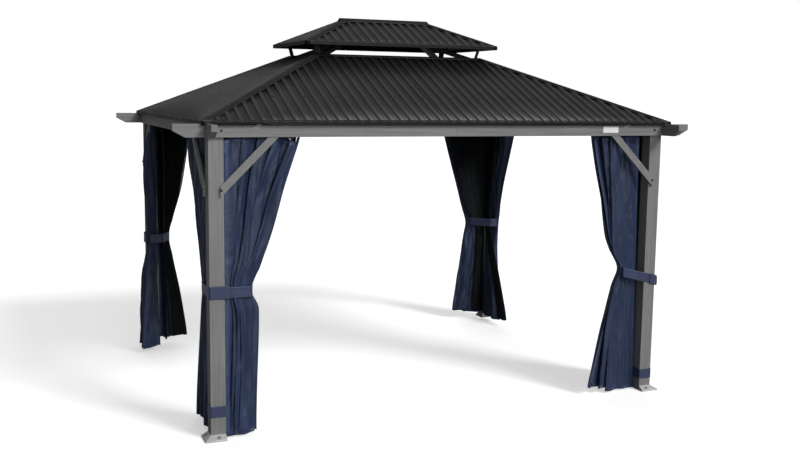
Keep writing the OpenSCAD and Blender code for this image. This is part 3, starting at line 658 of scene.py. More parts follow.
def joined(name, pieces):
    """One piece from several meshes that share a material, with their attributes."""
    bpy.ops.object.select_all(action="DESELECT")
    for piece in pieces:
        piece.select_set(True)
    bpy.context.view_layer.objects.active = pieces[0]
    if len(pieces) > 1:
        bpy.ops.object.join()
    pieces[0].name = name
    pieces[0].data.name = name
    return pieces[0]


def turned_about(rows, degrees):
    angle = math.radians(degrees)
    turn = np.array([[math.cos(angle), -math.sin(angle), 0], [math.sin(angle), math.cos(angle), 0],
                     [0, 0, 1]])
    return np.asarray(rows) @ turn.T


def eave_profile(eave_z, face_foot):
    """Points of the trim's section: inward distance from the eave, and height."""
    top = eave_z + CREST_UP + 0.0008
    flange = [(0.0190, top + 0.0190 * FALL - 0.0006), (0.0188, top + 0.0188 * FALL),
              (0.0100, top + 0.0100 * FALL), (0.0012, top + 0.0012 * FALL)]
    bend = [(-0.0006, top - 0.0002), (-0.0018, top - 0.0016), (-0.0020, top - 0.0036),
            (-0.0020, top - 0.0100)]
    hem = [(-0.0021, face_foot + 0.0045), (-0.0026, face_foot + 0.0020), (-0.0018, face_foot),
           (0.0002, face_foot - 0.0004), (0.0022, face_foot + 0.0012), (0.0026, face_foot + 0.0070)]
    return flange + bend + hem


TRIM_METAL = 0.0008


def eave_trim(name, node, eave_x, eave_y, eave_z, face_foot, notches=()):
    """The strip round four eaves, mitred at the corners and lifted over each notch."""
    pieces = []
    section = eave_profile(eave_z, face_foot)
    for _, turn, half, out in all_sides(eave_x, eave_y):
        cuts = [notch for notch in notches if notch[0] < half]
        stations = [-half, half]
        for low, high in cuts:
            stations += [low - 1e-5, low, high, high + 1e-5, -low + 1e-5, -low, -high, -high - 1e-5]
        stations = sorted(stations + list(np.linspace(-half + 0.05, half - 0.05, 9)))
        rows = []
        for x in stations:
            notched = any(low - 2e-6 < abs(x) < high + 2e-6 for low, high in cuts)
            row = []
            for inward, z in section:
                edge = math.copysign(half - inward, x) if abs(abs(x) - half) < 1e-9 else x
                row.append((edge, -out + inward, max(z, BEAM_TOP + 0.0006) if notched else z))
            rows.append(row)
        # A highlight line is painted along the front of the flange, and painted shade darkens the
        # bend, the face and the hem.
        edge = np.zeros((len(rows), len(section)))
        edge[:, 2:4] = 0.7
        under = np.zeros((len(rows), len(section)))
        under[:, 4:] = 1.0
        pieces.append(woven(name, turned_about(rows, turn), trim_coat,
                            marks={"edge": edge, "under": under}))
    fixed(thickened(joined(name, pieces), TRIM_METAL), "roof_trim", node)


TAIL_IN = 0.014
NOTCH_ROOM = 0.0008
LOWER_FACE_FOOT = 2.0785
tails_long = (POST_X - TAIL_IN - NOTCH_ROOM, POST_X + BEAM_OUT + NOTCH_ROOM)
tails_short = (POST_Y - TAIL_IN - NOTCH_ROOM, POST_Y + BEAM_OUT + NOTCH_ROOM)
eave_trim("lower_eave_strip", "lower_eave_trim", EAVE_X, EAVE_Y, EAVE_Z, LOWER_FACE_FOOT,
          (tails_long, tails_short))
eave_trim("upper_eave_strip", "upper_eave_trim", TOP_X, TOP_Y, TOP_Z, TOP_Z - 0.0125)


# ---- Hip and ridge caps --------------------------------------------------------------
# Folded caps lie on the rib crests along the hips and the ridge, open over the valleys,
# with their long edges turned down. Small screws with washers hold them and the sheets.

HIP_LEG = 0.036
RIDGE_LEG = 0.056
VENT_LEG = 0.034
CAP_METAL = 0.0009
CAP_OVER = 0.0012
HIP_FALL = FALL / math.sqrt(2)


def cap_section(fall, leg):
    """Half-turned section of a cap: distance from its fold, and height below the fold."""
    half = [(0.0, 0.0006), (0.0022, 0.0002), (0.0050, -0.0014), (0.0180, -0.0180 * fall),
            (leg - 0.0030, -(leg - 0.0030) * fall), (leg - 0.0006, -(leg - 0.0006) * fall - 0.0004),
            (leg + 0.0003, -leg * fall - 0.0022), (leg + 0.0004, -leg * fall - 0.0052)]
    return [(-w, z) for w, z in half[:0:-1]] + half


def hip_cap_rows(eave_x, eave_y, eave_z, reach, over_end):
    """Rows up the front-left hip from the eave corner, cut square to the eaves in plan."""
    section = cap_section(HIP_FALL, HIP_LEG)
    rows = []
    long = reach * math.sqrt(2)
    for share in np.linspace(0, 1, 15):
        row = []
        for w, drop in section:
            start = abs(w) - 0.0030
            end = long + (abs(w) if over_end else -abs(w))
            along = start + (end - start) * share
            row.append((-eave_x + (along + w) / math.sqrt(2), -eave_y + (along - w) / math.sqrt(2),
                        eave_z + CREST_UP + CAP_OVER + HIP_FALL * along + drop))
        rows.append(row)
    return np.array(rows)


def four_corners(rows):
    for sx, sy in CORNERS.values():
        flipped = rows * np.array([-sx, -sy, 1])
        yield flipped[::-1] if sx * sy < 0 else flipped


# Painted highlight lines along each cap's middle fold and its long edges, as well as wear there.
def cap_wear_and_highlight_lines(rows):
    edge = np.zeros(rows.shape[:2])
    middle = rows.shape[1] // 2
    edge[:, middle - 1:middle + 2] = 1.0
    edge[:, :2] = edge[:, -2:] = 0.8
    return {"edge": edge}


for name, node, sizes in (
        ("lower_hip_folds", "lower_roof_caps", (EAVE_X, EAVE_Y, EAVE_Z, LOWER_RUN, True)),
        ("upper_hip_folds", "upper_hip_caps", (TOP_X, TOP_Y, TOP_Z, TOP_Y - 0.001, False))):
    rows = hip_cap_rows(*sizes)
    caps = joined(name, [woven(name, corner_rows, trim_coat, marks=cap_wear_and_highlight_lines(rows))
                         for corner_rows in four_corners(rows)])
    fixed(thickened(caps, CAP_METAL, -1.0), "roof_trim", node)

# A flashing lies on the top ends of the lower sheets, with its leg down at the vent.
pieces = []
over = EAVE_Z + CREST_UP + CAP_OVER
section = [(LOWER_RUN - VENT_LEG, -0.0030), (LOWER_RUN - VENT_LEG, -0.0006),
           (LOWER_RUN - VENT_LEG + 0.0012, 0.0002), (LOWER_RUN - 0.0012, 0.0),
           (LOWER_RUN + 0.0004, -0.0006), (LOWER_RUN + 0.0010, -0.0024),
           (LOWER_RUN + 0.0010, -0.0220)]
for _, turn, half, out in all_sides(EAVE_X, EAVE_Y):
    rows = [[(share * (half - up - HIP_LEG * 1.4142 - 0.002), -out + up, over + FALL * up + drop)
             for up, drop in section]
            for share in np.linspace(-1, 1, 9)]
    # A highlight is painted along the flashing's lower fold on the sheets, and painted shade
    # darkens its top a little and its vent edge and leg fully.
    edge = np.zeros((9, len(section)))
    edge[:, (1, 2)] = 0.5
    under = np.full((9, len(section)), 0.4)
    under[:, 4:] = 1.0
    pieces.append(woven("flashing", turned_about(rows, turn), trim_coat,
                        marks={"edge": edge, "under": under}))
fixed(thickened(joined("vent_flashings", pieces), TRIM_METAL), "roof_trim", "lower_roof_caps")

ridge_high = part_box("ridge_cap")[1]
RIDGE_Z = ridge_high.z - 0.0014
rows = []
for x in (-ridge_high.x - 0.0005, *np.linspace(-ridge_high.x, ridge_high.x, 9),
          ridge_high.x + 0.0005):
    tuck = 0.006 if abs(x) > ridge_high.x else 0.0
    rows.append([(x, -w * (1 - tuck * 4), RIDGE_Z + drop - tuck)
                 for w, drop in cap_section(FALL, RIDGE_LEG)])
ridge = woven("ridge_fold", rows, trim_coat, marks=cap_wear_and_highlight_lines(np.array(rows)))
fixed(thickened(ridge, 0.0010, -1.0), "roof_trim", "ridge_cap")


def slope_spot(turn, x, up_plan, out, eave_z, over):
    """A spot on a roof side, x along the eave and up_plan inwards, and its way out of the slope."""
    at = turned_about([[x, -out + up_plan, eave_z + FALL * up_plan + over]], turn)[0]
    way = turned_about([[0, -math.sin(PITCH), math.cos(PITCH)]], turn)[0]
    return at, way


# Rows of screws up each side, on every third rib; the lowest row goes through the trim.
LOWER_ROWS = (0.012, 0.36, 0.72, 1.060)
UPPER_ROWS = (0.012, 0.30)
spots = []
for below, above in zip(all_sides(EAVE_X, EAVE_Y), all_sides(TOP_X, TOP_Y)):
    for (_, turn, half, out), z, levels, ribs in (
            (below, EAVE_Z, LOWER_ROWS, lower_ribs(below[2])),
            (above, TOP_Z, UPPER_ROWS, upper_ribs(above[2]))):
        for level in levels:
            over = CREST_UP + UNDER_WASHER + (0.001 if level < 0.02 else 0)
            for rib_number in range(-ribs, ribs):
                x = (rib_number + 0.5) * (half / ribs)
                if rib_number % 3 == 1 and abs(x) < half - level - 0.075:
                    spots.append(slope_spot(turn, x, level, out, z, over))
for eave_x, eave_y, z, reach in ((EAVE_X, EAVE_Y, EAVE_Z, LOWER_RUN), (TOP_X, TOP_Y, TOP_Z, TOP_Y)):
    for sx, sy in CORNERS.values():
        for along in np.arange(0.11, reach * math.sqrt(2) - 0.05, 0.205):
            for w in (-0.026, 0.026):
                at = (sx * (eave_x - (along + w) / math.sqrt(2)),
                      sy * (eave_y - (along - w) / math.sqrt(2)),
                      z + CREST_UP + 0.0018 + HIP_FALL * (along - abs(w)))
                way = Vector((sx * (w < 0) * FALL, sy * (w > 0) * FALL, 1)).normalized()
                spots.append((at, way))
for x in np.arange(-0.30, 0.31, 0.15):
    for sy in (-1, 1):
        spots.append(((x, sy * 0.034, RIDGE_Z - 0.034 * FALL + 0.0006),
                      Vector((0, sy * FALL, 1)).normalized()))
ROOF_SCREW = {"Head": 0.0042, "Rise": 0.0034, "Washer": 0.0078}
on_spots("roof_screws", spots, hex_bolt, trim_coat, "roof_trim", **ROOF_SCREW)


# ---- Curtain rails -------------------------------------------------------------------
# Black double rails under the inside of the beams: two C-shaped channels side by side, the
# outer for the curtains and the inner for the netting, with small hooked gliders in them.

RAIL_NEAR, RAIL_FAR, RAIL_FOOT, RAIL_HEAD = 0.0143, 0.0783, BEAM_FOOT + 0.0004, BEAM_FOOT + 0.014
rail_section = []
for near, far in ((RAIL_NEAR, 0.0462), (0.0464, RAIL_FAR)):
    rail_section.append([(near + 0.0075, RAIL_FOOT), (near + 0.0004, RAIL_FOOT),
                         (near, RAIL_FOOT + 0.0004), (near, RAIL_HEAD - 0.0005),
                         (near + 0.0005, RAIL_HEAD), (far - 0.0005, RAIL_HEAD),
                         (far, RAIL_HEAD - 0.0005), (far, RAIL_FOOT + 0.0004),
                         (far - 0.0004, RAIL_FOOT), (far - 0.0075, RAIL_FOOT)])
pieces = []
for _, turn, half, out in all_sides(POST_X, POST_Y):
    end = half - POST - 0.0006
    for section in rail_section:
        rows = [[(x, -out + inward, z) for inward, z in section] for x in np.linspace(-end, end, 7)]
        edge = np.zeros((7, len(section)))
        edge[:, (1, 2, 7, 8)] = 1.0
        pieces.append(woven("rail", turned_about(rows, turn), powder, marks={"edge": edge},
                            smooth=False))
fixed(thickened(joined("curtain_rails", pieces), 0.0011), "track", "curtain_tracks")


# ---- Curtains ------------------------------------------------------------------------
# Navy woven polyester curtains, one on each side of each corner. Each hangs from hooks on
# its rail, is gathered to its post and drawn in at the tieback, and has hems all round.

FULL_TURN = 6.2832
cloth_weave, given, made = shared_effect(
    "woven cloth", {"Thread Place": (0, 0, 0), "Threads": 900.0},
    {"Height": "Float", "Tone": "Float"})
place = put(cloth_weave, "ShaderNodeSeparateXYZ", {0: given["Thread Place"]}).outputs
warp = calc(cloth_weave, "SINE",
            calc(cloth_weave, "MULTIPLY",
                 calc(cloth_weave, "MULTIPLY", place[0], given["Threads"]), FULL_TURN))
weft = calc(cloth_weave, "SINE",
            calc(cloth_weave, "MULTIPLY",
                 calc(cloth_weave, "MULTIPLY", place[1], given["Threads"]), FULL_TURN))
slub = cloudy(cloth_weave, stretched(cloth_weave, given["Thread Place"], (260, 9, 1)), 1.0, 3, 0.6)
pick = cloudy(cloth_weave, stretched(cloth_weave, given["Thread Place"], (9, 260, 1)), 1.0, 3, 0.6)
threads = calc(cloth_weave, "MULTIPLY", calc(cloth_weave, "MULTIPLY", warp, weft), 0.5)
uneven = calc(cloth_weave, "ADD", slub, pick)
cloth_weave.links.new(calc(cloth_weave, "ADD", threads, uneven), made["Height"])
cloth_weave.links.new(spread(cloth_weave, uneven, 0.75, 1.25, 0.88, 1.1), made["Tone"])


def navy_cloth(name, color, hem_and_highlight_color, hem_width, sheen, drape):
    """Navy cloth with a folded hem round it and a row of stitches along the hem."""
    material, tree, shader = finish_named(name, Sheen_Weight=sheen, Sheen_Roughness=0.38,
                                          Specular_IOR_Level=0.4, Sheen_Tint=(0.55, 0.62, 0.95, 1))
    thread = marked(tree, "thread", "Vector")
    hem = marked(tree, "hem")
    cloth = use(tree, cloth_weave, {"Thread Place": thread, "Threads": 700.0})
    # The hem is painted lighter than the cloth: partly the hem's own colour, partly a painted
    # highlight along the cloth's edges.
    in_hem = spread(tree, hem, hem_width, hem_width + 0.0015, 1.0, 0.0)
    base = mixed(tree, in_hem, color, hem_and_highlight_color)
    # Soft streaks are painted lighter and darker: partly fading, partly painted highlight and shade
    # standing in for the light on the folds.
    fade_and_shade_patches = cloudy(tree, stretched(tree, thread, (7, 1.6, 1)), 1.0, 5, 0.6)
    base = mixed(tree, spread(tree, fade_and_shade_patches, 0.45, 0.72, 0.0, 0.75), base, hem_and_highlight_color)
    shadowed = (color[0] * 0.5, color[1] * 0.5, color[2] * 0.55, 1)
    base = mixed(tree, spread(tree, fade_and_shade_patches, 0.26, 0.46, 0.55, 0.0), base, shadowed)
    tone = put(tree, "ShaderNodeCombineColor",
               {0: cloth["Tone"], 1: cloth["Tone"], 2: cloth["Tone"]}).outputs[0]
    toned = mixed(tree, 1.0, base, tone, "MULTIPLY")
    from_seam = calc(tree, "ABSOLUTE", calc(tree, "SUBTRACT", hem, hem_width - 0.003))
    stitch_line_and_lap_shadow = calc(tree, "MULTIPLY", spread(tree, from_seam, 0.0006, 0.0014, 1.0, 0.0), 0.6)
    darker = mixed(tree, stitch_line_and_lap_shadow, toned, (color[0] * 0.4, color[1] * 0.4, color[2] * 0.4, 1))
    tree.links.new(darker, shader.inputs["Base Color"])
    tree.links.new(spread(tree, cloth["Tone"], 0.88, 1.1, 0.56, 0.44), shader.inputs["Roughness"])
    puckers = cloudy(tree, stretched(tree, thread, (60, 60, 1)), 1.0, 3, 0.6)
    hanging = cloudy(tree, stretched(tree, thread, (11, 2.0, 1)), 1.0, 2, 0.45, 1.1)
    soft = calc(tree, "ADD", calc(tree, "MULTIPLY", hanging, drape),
                calc(tree, "MULTIPLY", cloth["Height"], 0.25))
    sewn = calc(tree, "SUBTRACT", calc(tree, "MULTIPLY", puckers, 3.0), stitch_line_and_lap_shadow)
    sewn = calc(tree, "ADD", in_hem, sewn)
    relief = calc(tree, "ADD", soft, sewn)
    bumped(tree, shader, relief, 0.0008, 0.6)
    return material


navy = navy_cloth("navy polyester", (0.0128, 0.0232, 0.0590, 1), (0.030, 0.050, 0.112, 1),
                  hem_width=0.028, sheen=0.20, drape=80.0)


def wavy(rng, waves, most):
    """A smooth seeded random function of one number, made of a few sines."""
    turns = rng.uniform(0.6, most, waves)
    starts = rng.uniform(0, 2 * math.pi, waves)
    sizes = rng.uniform(0.5, 1.0, waves) / math.sqrt(waves)
    return lambda t: sum(size * np.sin(turn * t + start)
                         for turn, start, size in zip(turns, starts, sizes))


# Pairs of a height and a value there, for what stays the same from the top to the floor.
FLAT_ON = [(2, 0.002), (0, 0.002)]
UPRIGHT = [(2, 0), (0, 0)]
EVEN = [(2, 1), (0, 1)]
TIE_ZONE_TOP, TIE_LEVEL, TIE_ZONE_FOOT = 1.12, 0.98, 0.84


def gathered(widths, foot, pleats, cut, depth, seed, columns, levels, gaps=FLAT_ON, leans=UPRIGHT,
             toward=1, last=0.14, soft=0.080, spread_out=EVEN, loops=(), droop=0.010, flare=0.02,
             slant=0.0, rumple=0.0, head=BEAM_FOOT - 0.002):
    """A hanging cloth of constant width laid in leaning pleats to fit a given width at each height.

    Gives rows from the top down of (distance from the post, depth, height), and the cloth's
    own place (across, down) for each point. Toward says which way the pleats face, last is the
    length of the free edge's own panel. Loops are places where a hook is missed and the top
    sags: (place across, half width, how deep). Soft is how much cloth each fold takes to turn, and
    spread_out how much deeper than its room the bundle is at each height. Rumple is the size
    of the shallow ripples that run down each panel."""
    rng = np.random.default_rng(seed)
    z = np.concatenate([np.linspace(head, TIE_ZONE_TOP, levels[0], endpoint=False),
                        np.linspace(TIE_ZONE_TOP, TIE_ZONE_FOOT, levels[1], endpoint=False),
                        np.linspace(TIE_ZONE_FOOT, foot, levels[2])])
    at = lambda table: np.interp(z[::-1], [a for a, _ in table][::-1],
                                 [b for _, b in table][::-1])[::-1]
    kernel = np.hanning(9)
    kernel /= kernel.sum()
    ease = lambda values: np.convolve(np.pad(values, 4, mode="edge"), kernel, mode="valid")
    width, gap, lean = ease(at(widths)), ease(at(gaps)), ease(at(leans))
    room = (depth[1] - depth[0]) / 2
    near_tie = np.exp(-((z - TIE_LEVEL) / 0.22) ** 2)
    # Each pleat but the last goes forward and back, and takes its own share of the cloth.
    cloth_share = rng.uniform(0.75, 1.25, pleats - 1)
    cloth_share *= (cut - last) / cloth_share.sum()
    place_share = np.array([rng.uniform(0.65, 1.35) * np.exp(0.42 * wavy(rng, 4, 5.0)(z))
                            for _ in range(pleats - 1)]).T
    deep = np.array([2 * room * (0.86 + 0.12 * wavy(rng, 3, 5.0)(z)) for _ in range(pleats)]).T
    deep[:, -1] = np.minimum(deep[:, -1], last * 0.85)
    free = np.minimum(np.sqrt(last ** 2 - deep[:, -1] ** 2), 0.6 * width)
    step = (width - free)[:, None] * place_share / place_share.sum(1, keepdims=True)
    deep[:, :-1] = np.minimum(deep[:, :-1], (cloth_share ** 2 - step ** 2) / (2 * cloth_share))
    # How far each pleat runs back, by halving until its two legs use up its share.
    low, high = np.zeros_like(step), np.full_like(step, cut)
    for _ in range(30):
        back = (low + high) / 2
        long = np.hypot(step + back, deep[:, :-1]) + np.hypot(back, deep[:, :-1])
        spare = long < cloth_share
        low, high = np.where(spare, back, low), np.where(spare, high, back)
    starts = np.concatenate([np.zeros((len(z), 1)), np.cumsum(step, 1)], 1)
    turns_u = np.zeros((len(z), 2 * pleats))
    turns_u[:, 0::2] = starts
    turns_u[:, 1:-1:2] = starts[:, 1:] + back
    turns_u[:, -1] = width
    turns_d = np.repeat(deep / 2, 2, 1) * np.tile([1, -1], pleats)
    # The zigzag is read at even steps of cloth, and its folds are rounded.
    s = np.linspace(0, 1, columns)
    round_off = np.hanning(max(5, round(soft / (cut / columns)) // 2 * 2 + 1))
    round_off /= round_off.sum()
    side = len(round_off) // 2
    u, d = np.zeros((len(z), columns)), np.zeros((len(z), columns))
    for row in range(len(z)):
        legs = np.hypot(np.diff(turns_u[row]), np.diff(turns_d[row]))
        run = np.concatenate([[0], np.cumsum(legs)])
        for values, turns in ((u, turns_u), (d, turns_d)):
            plain_row = np.interp(s * run[-1], run, turns[row])
            ends = np.concatenate([2 * plain_row[0] - plain_row[side:0:-1], plain_row,
                                   2 * plain_row[-1] - plain_row[-2:-side - 2:-1]])
            values[row] = np.convolve(ends, round_off, mode="valid")
    # Ripples stand off each panel along its own normal, and die out at the edges and the tie.
    grid_s, grid_z = np.meshgrid(s, z)
    broad, crease, small = wavy(rng, 4, 16.0), wavy(rng, 6, 60.0), wavy(rng, 5, 30.0)
    fold, cross = wavy(rng, 5, 150.0), wavy(rng, 5, 110.0)
    d = toward * d + 0.24 * room * broad(grid_s + 0.22 * grid_z)
    du, dd = np.gradient(u, axis=1), np.gradient(d, axis=1)
    bends = fold(grid_s + 0.04 * grid_z) + cross(grid_s - 0.07 * grid_z)
    dying_out = np.clip(np.minimum(grid_s, 1 - grid_s) / 0.02, 0, 1)
    ripple = rumple * (1 - 0.7 * near_tie)[:, None] * bends
    ripple = ripple * dying_out / (np.hypot(du, dd) + 1e-9)
    u, d = u - ripple * dd, d + ripple * du
    d /= (1 + (np.abs(d) / room) ** 6) ** (1 / 6)
    fuss = (0.0006 + 0.0024 * near_tie)[:, None] * np.sin(math.pi * grid_s)
    d += fuss * crease(grid_s * 4 + grid_z * 0.5) + 0.0022 * small(grid_z * 0.35 + grid_s * 2.2)
    d = d * ease(at(spread_out))[:, None] + (depth[0] + depth[1]) / 2 + lean[:, None]
    u /= (1 + np.maximum(u / width[:, None], 0) ** 16) ** (1 / 16) * 0.96
    u += gap[:, None]
    # The top edge dips between the hooks, and the hem rises and falls.
    dips = 0.5 + 0.5 * np.sin(2 * math.pi * (pleats + 1.5) * s + seed)
    top_drop = droop * dips * (1 + 0.5 * np.sin(9 * s + seed))
    for place, half, low_by in loops:
        top_drop = top_drop + low_by * np.clip(1 - ((s - place) / half) ** 2, 0, 1)
    swells = 0.5 + 0.5 * np.sin(2 * math.pi * 1.3 * s + seed)
    hem_rise = slant * s + flare * swells + 0.004 * np.sin(2 * math.pi * 4 * s)
    share = ((z[0] - z) / (z[0] - z[-1]))[:, None]
    height = grid_z - top_drop[None, :] * np.exp(-share * 9) + hem_rise[None, :] * share ** 4
    cloth = np.stack([grid_s * cut, grid_z, np.zeros_like(grid_s)], 2)
    edge = np.minimum(np.minimum(grid_s * cut, cut - grid_s * cut),
                      np.minimum(z[0] - grid_z, grid_z - z[-1]))
    return np.stack([u, d, height], 2), {"thread": cloth, "hem": np.maximum(edge, 0)}


def to_corner(points, corner, swap=False):
    """Puts (distance from the post, depth in from its outer face, height) onto a side of a corner.

    The side is the long one, or with swap the short one."""
    sx, sy = CORNERS[corner]
    along, into = points[..., 0] + POST, points[..., 1]
    x, y = (into, along) if swap else (along, into)
    return np.stack([sx * (POST_X - x), sy * (POST_Y - y), points[..., 2]], -1)


def mirrored(corner):
    """True at the two corners where a side's mirror image turns a sheet's face inwards."""
    return CORNERS[corner][0] * CORNERS[corner][1] < 0


def cloth_piece(name, points, marks, corner, material, thickness, flip, swap=False, ring=False):
    """A sheet of cloth at a corner, its rows turned over with flip so that it faces outwards."""
    rows = to_corner(np.asarray(points), corner, swap)
    if flip:
        rows, marks = rows[::-1], {key: np.asarray(value)[::-1] for key, value in marks.items()}
    return woven(name, rows, material, thickness, marks, ring=ring)


SIDE_NAME = {False: "long", True: "short"}
CURTAIN_DEPTH = (0.002, 0.080)
# For each drape, by corner and short side: its width at each height, the gap to the post and
# the lean inwards where they change, its lowest height, its pleats, and the loops of its top.
HANG = {
    ("front_left", False): dict(
        widths=[(2.0, .535), (1.66, .418), (1.40, .346), (1.20, .278), (1.05, .200), (1.0, .180),
                (0.95, .185), (0.88, .235), (0.5, .225), (0.05, .210)],
        foot=0.004, pleats=5, toward=-1, slant=0.022,
        loops=[(0.94, 0.045, 0.032), (0.83, 0.040, 0.022), (0.64, 0.045, 0.010)]),
    ("front_left", True): dict(
        widths=[(2.0, .695), (1.79, .665), (1.64, .525), (1.32, .335), (1.0, .165), (0.9, .20),
                (0.5, .315), (0.05, .425)],
        foot=0.020, pleats=5, loops=[(0.86, 0.06, 0.03)]),
    ("front_right", False): dict(
        widths=[(2.0, .452), (1.75, .405), (1.51, .352), (1.2, .295), (1.08, .235), (1.0, .185),
                (0.95, .185), (0.88, .225), (0.5, .335), (0.03, .445)],
        gaps=[(2, .046), (1.4, .034), (1, .022), (0, .002)], leans=[(2, .006), (0, .006)],
        foot=0.004, pleats=4, slant=0.072, loops=[(0.90, 0.07, 0.022)]),
    ("front_right", True): dict(
        widths=[(2.0, .445), (1.6, .37), (1.2, .27), (1.06, .205), (0.98, .185), (0.90, .21),
                (0.5, .28), (0.05, .35)],
        foot=0.020, pleats=5, loops=[(0.5, 0.05, 0.02)]),
    ("back_left", False): dict(
        widths=[(2.0, .31), (1.7, .27), (1.4, .20), (1.2, .15), (1.06, .105), (0.98, .095),
                (0.90, .105), (0.5, .13), (0.06, .14)],
        foot=0.045, pleats=6),
    ("back_left", True): dict(
        widths=[(2.0, .30), (1.7, .28), (1.4, .24), (1.2, .20), (1.06, .165), (0.98, .155),
                (0.90, .19), (0.8, .25), (0.5, .31), (0.06, .33)],
        leans=[(2, -.004), (1.95, -.024), (1.6, -.034), (1.1, -.018), (0.98, -.012), (0.88, -.018),
               (0.7, -.046), (0.3, -.056), (0, -.058)],
        foot=0.030, pleats=5,
        spread_out=[(2, 1), (1.9, 1.2), (1.7, 1.7), (1.05, 1.7), (0.8, 2.2), (0, 2.4)]),
    ("back_right", False): dict(
        widths=[(2.0, .465), (1.7, .38), (1.4, .29), (1.2, .235), (1.06, .18), (0.98, .160),
                (0.90, .18), (0.5, .235), (0.08, .30)],
        foot=0.050, pleats=6, slant=0.03, loops=[(0.85, 0.06, 0.018)]),
    ("back_right", True): dict(
        widths=[(2.0, .445), (1.7, .345), (1.4, .23), (1.2, .18), (1.06, .145), (0.98, .125),
                (0.90, .14), (0.5, .22), (0.08, .30)],
        leans=[(1.0, 0), (0.8, .018), (0, .036)], foot=0.040, pleats=5),
}

# Each curtain hangs from small wire rings in the rail.
glider, given, made = growing("rail glider", {"Ring": 0.006, "Wire": 0.0009, "Material": ""})
loop = put(glider, "GeometryNodeCurvePrimitiveCircle",
           {"Resolution": 10, "Radius": given["Ring"]}).outputs[0]
wire = put(glider, "GeometryNodeCurvePrimitiveCircle",
           {"Resolution": 5, "Radius": given["Wire"]}).outputs[0]
on_points(glider, given, made,
          put(glider, "GeometryNodeCurveToMesh", {"Curve": loop, "Profile Curve": wire}).outputs[0])
hook_spots = []
for number, ((corner, swap), hang) in enumerate(HANG.items()):
    points, marks = gathered(depth=CURTAIN_DEPTH, cut=1.26 if swap else 1.57, seed=40 + number,
                             columns=191, levels=(32, 16, 26), rumple=0.0098,
                             flare=0.008 if hang["foot"] < 0.01 else 0.02, **hang)
    piece = cloth_piece(f"curtain_{corner}_{SIDE_NAME[swap]}", points, marks, corner, navy, 0.0009,
                        flip=mirrored(corner) != swap, swap=swap)
    fixed(piece, "curtain_cloth", "curtains_" + corner)
    for column in range(3, 190, 17):
        at = points[0, column].copy()
        at[2] = BEAM_FOOT - 0.0052
        hook_spots.append((to_corner(at, corner, swap), (0, 1, 0) if swap else (1, 0, 0)))
on_spots("curtain_hooks", hook_spots, glider, dark_steel, "track", Ring=0.0046, Wire=0.0009)


# ---- Netting -------------------------------------------------------------------------
# Fine dark insect netting on the inner channel, gathered to the post behind each curtain and
# tied back with it. Its edge shows a little beyond the curtain's.

net, tree, shader = finish_named("dark insect netting", Specular_IOR_Level=0.2, Roughness=0.75)
thread = marked(tree, "thread", "Vector")
place = put(tree, "ShaderNodeSeparateXYZ", {0: thread}).outputs
holes = []
for way in (0, 1):
    cell = calc(tree, "FRACT", calc(tree, "MULTIPLY", place[way], 520.0))
    off_hole = calc(tree, "ABSOLUTE", calc(tree, "SUBTRACT", cell, 0.5))
    holes.append(spread(tree, off_hole, 0.40, 0.44, 0.0, 1.0))
strands = calc(tree, "MAXIMUM", holes[0], holes[1])
hem = spread(tree, marked(tree, "hem"), 0.018, 0.020, 1.0, 0.0)
cover = calc(tree, "MAXIMUM", strands, hem)
tree.links.new(cover, shader.inputs["Alpha"])
uneven = cloudy(tree, stretched(tree, thread, (6, 2, 1)), 1.0, 4)
net_tone = mixed(tree, spread(tree, uneven, 0.3, 0.7), (0.008, 0.011, 0.013, 1),
                 (0.018, 0.024, 0.026, 1))
tree.links.new(mixed(tree, hem, net_tone, (0.014, 0.020, 0.034, 1)), shader.inputs["Base Color"])
bumped(tree, shader, strands, 0.0006, 0.5)

NETTING_DEPTH = (0.084, 0.112)
# How much narrower the netting is than its curtain, where it isn't the usual amount.
NET_NARROWER = {("front_right", False): -0.050, ("front_left", True): -0.02}
# At the back the netting is drawn aside below the ties.
NET_AT_BACK = {
    ("back_left", False): dict(
        widths=[(2.0, .315), (1.4, .215), (1.1, .115), (0.98, .080), (0.90, .085), (0.5, .115),
                (0.05, .165)],
        gaps=[(2, .002), (1.1, .002), (0.9, .020), (0.5, .075), (0, .095)]),
    ("back_left", True): dict(
        widths=[(2.0, .28), (1.4, .20), (1.1, .12), (0.9, .06), (0, .06)],
        leans=[(2, 0), (1.85, .028), (1.2, .034), (1, .044), (0, .055)]),
    ("back_right", False): dict(
        widths=[(2.0, .470), (1.7, .385), (1.4, .29), (1.15, .215), (1.0, .11), (0.9, .070),
                (0.5, .085), (0.05, .120)]),
    ("back_right", True): dict(
        widths=[(2.0, .22), (1.6, .18), (1.2, .12), (1.0, .09), (0.9, .085), (0.5, .12), (0, .16)],
        gaps=[(2, .002), (1.0, .012), (0.9, .060), (0.5, .195), (0, .33)],
        leans=[(1.0, 0), (0.8, .006), (0, -.030)]),
}
for number, ((corner, swap), hang) in enumerate(HANG.items()):
    narrower = NET_NARROWER.get((corner, swap), -0.014)
    behind = {"widths": [(z, width + narrower - 0.012) for z, width in hang["widths"]],
              "gaps": [(z, gap + 0.012) for z, gap in hang.get("gaps", FLAT_ON)],
              "leans": [(z, max(0.0, lean)) for z, lean in hang.get("leans", UPRIGHT)]}
    lift = 0.02 if (corner, swap) in NET_AT_BACK else 0.012
    points, marks = gathered(depth=NETTING_DEPTH, cut=1.36 if swap else 1.68, seed=80 + number,
                             columns=171, levels=(16, 10, 14), foot=hang["foot"] + lift, pleats=14,
                             last=0.05, soft=0.030, droop=0.003, flare=0.01,
                             slant=hang.get("slant", 0.0), head=BEAM_FOOT + 0.008,
                             **NET_AT_BACK.get((corner, swap), behind))
    piece = cloth_piece(f"netting_{corner}_{SIDE_NAME[swap]}", points, marks, corner, net, 0.0006,
                        flip=mirrored(corner) != swap, swap=swap)
    fixed(piece, "netting", "netting_" + corner)


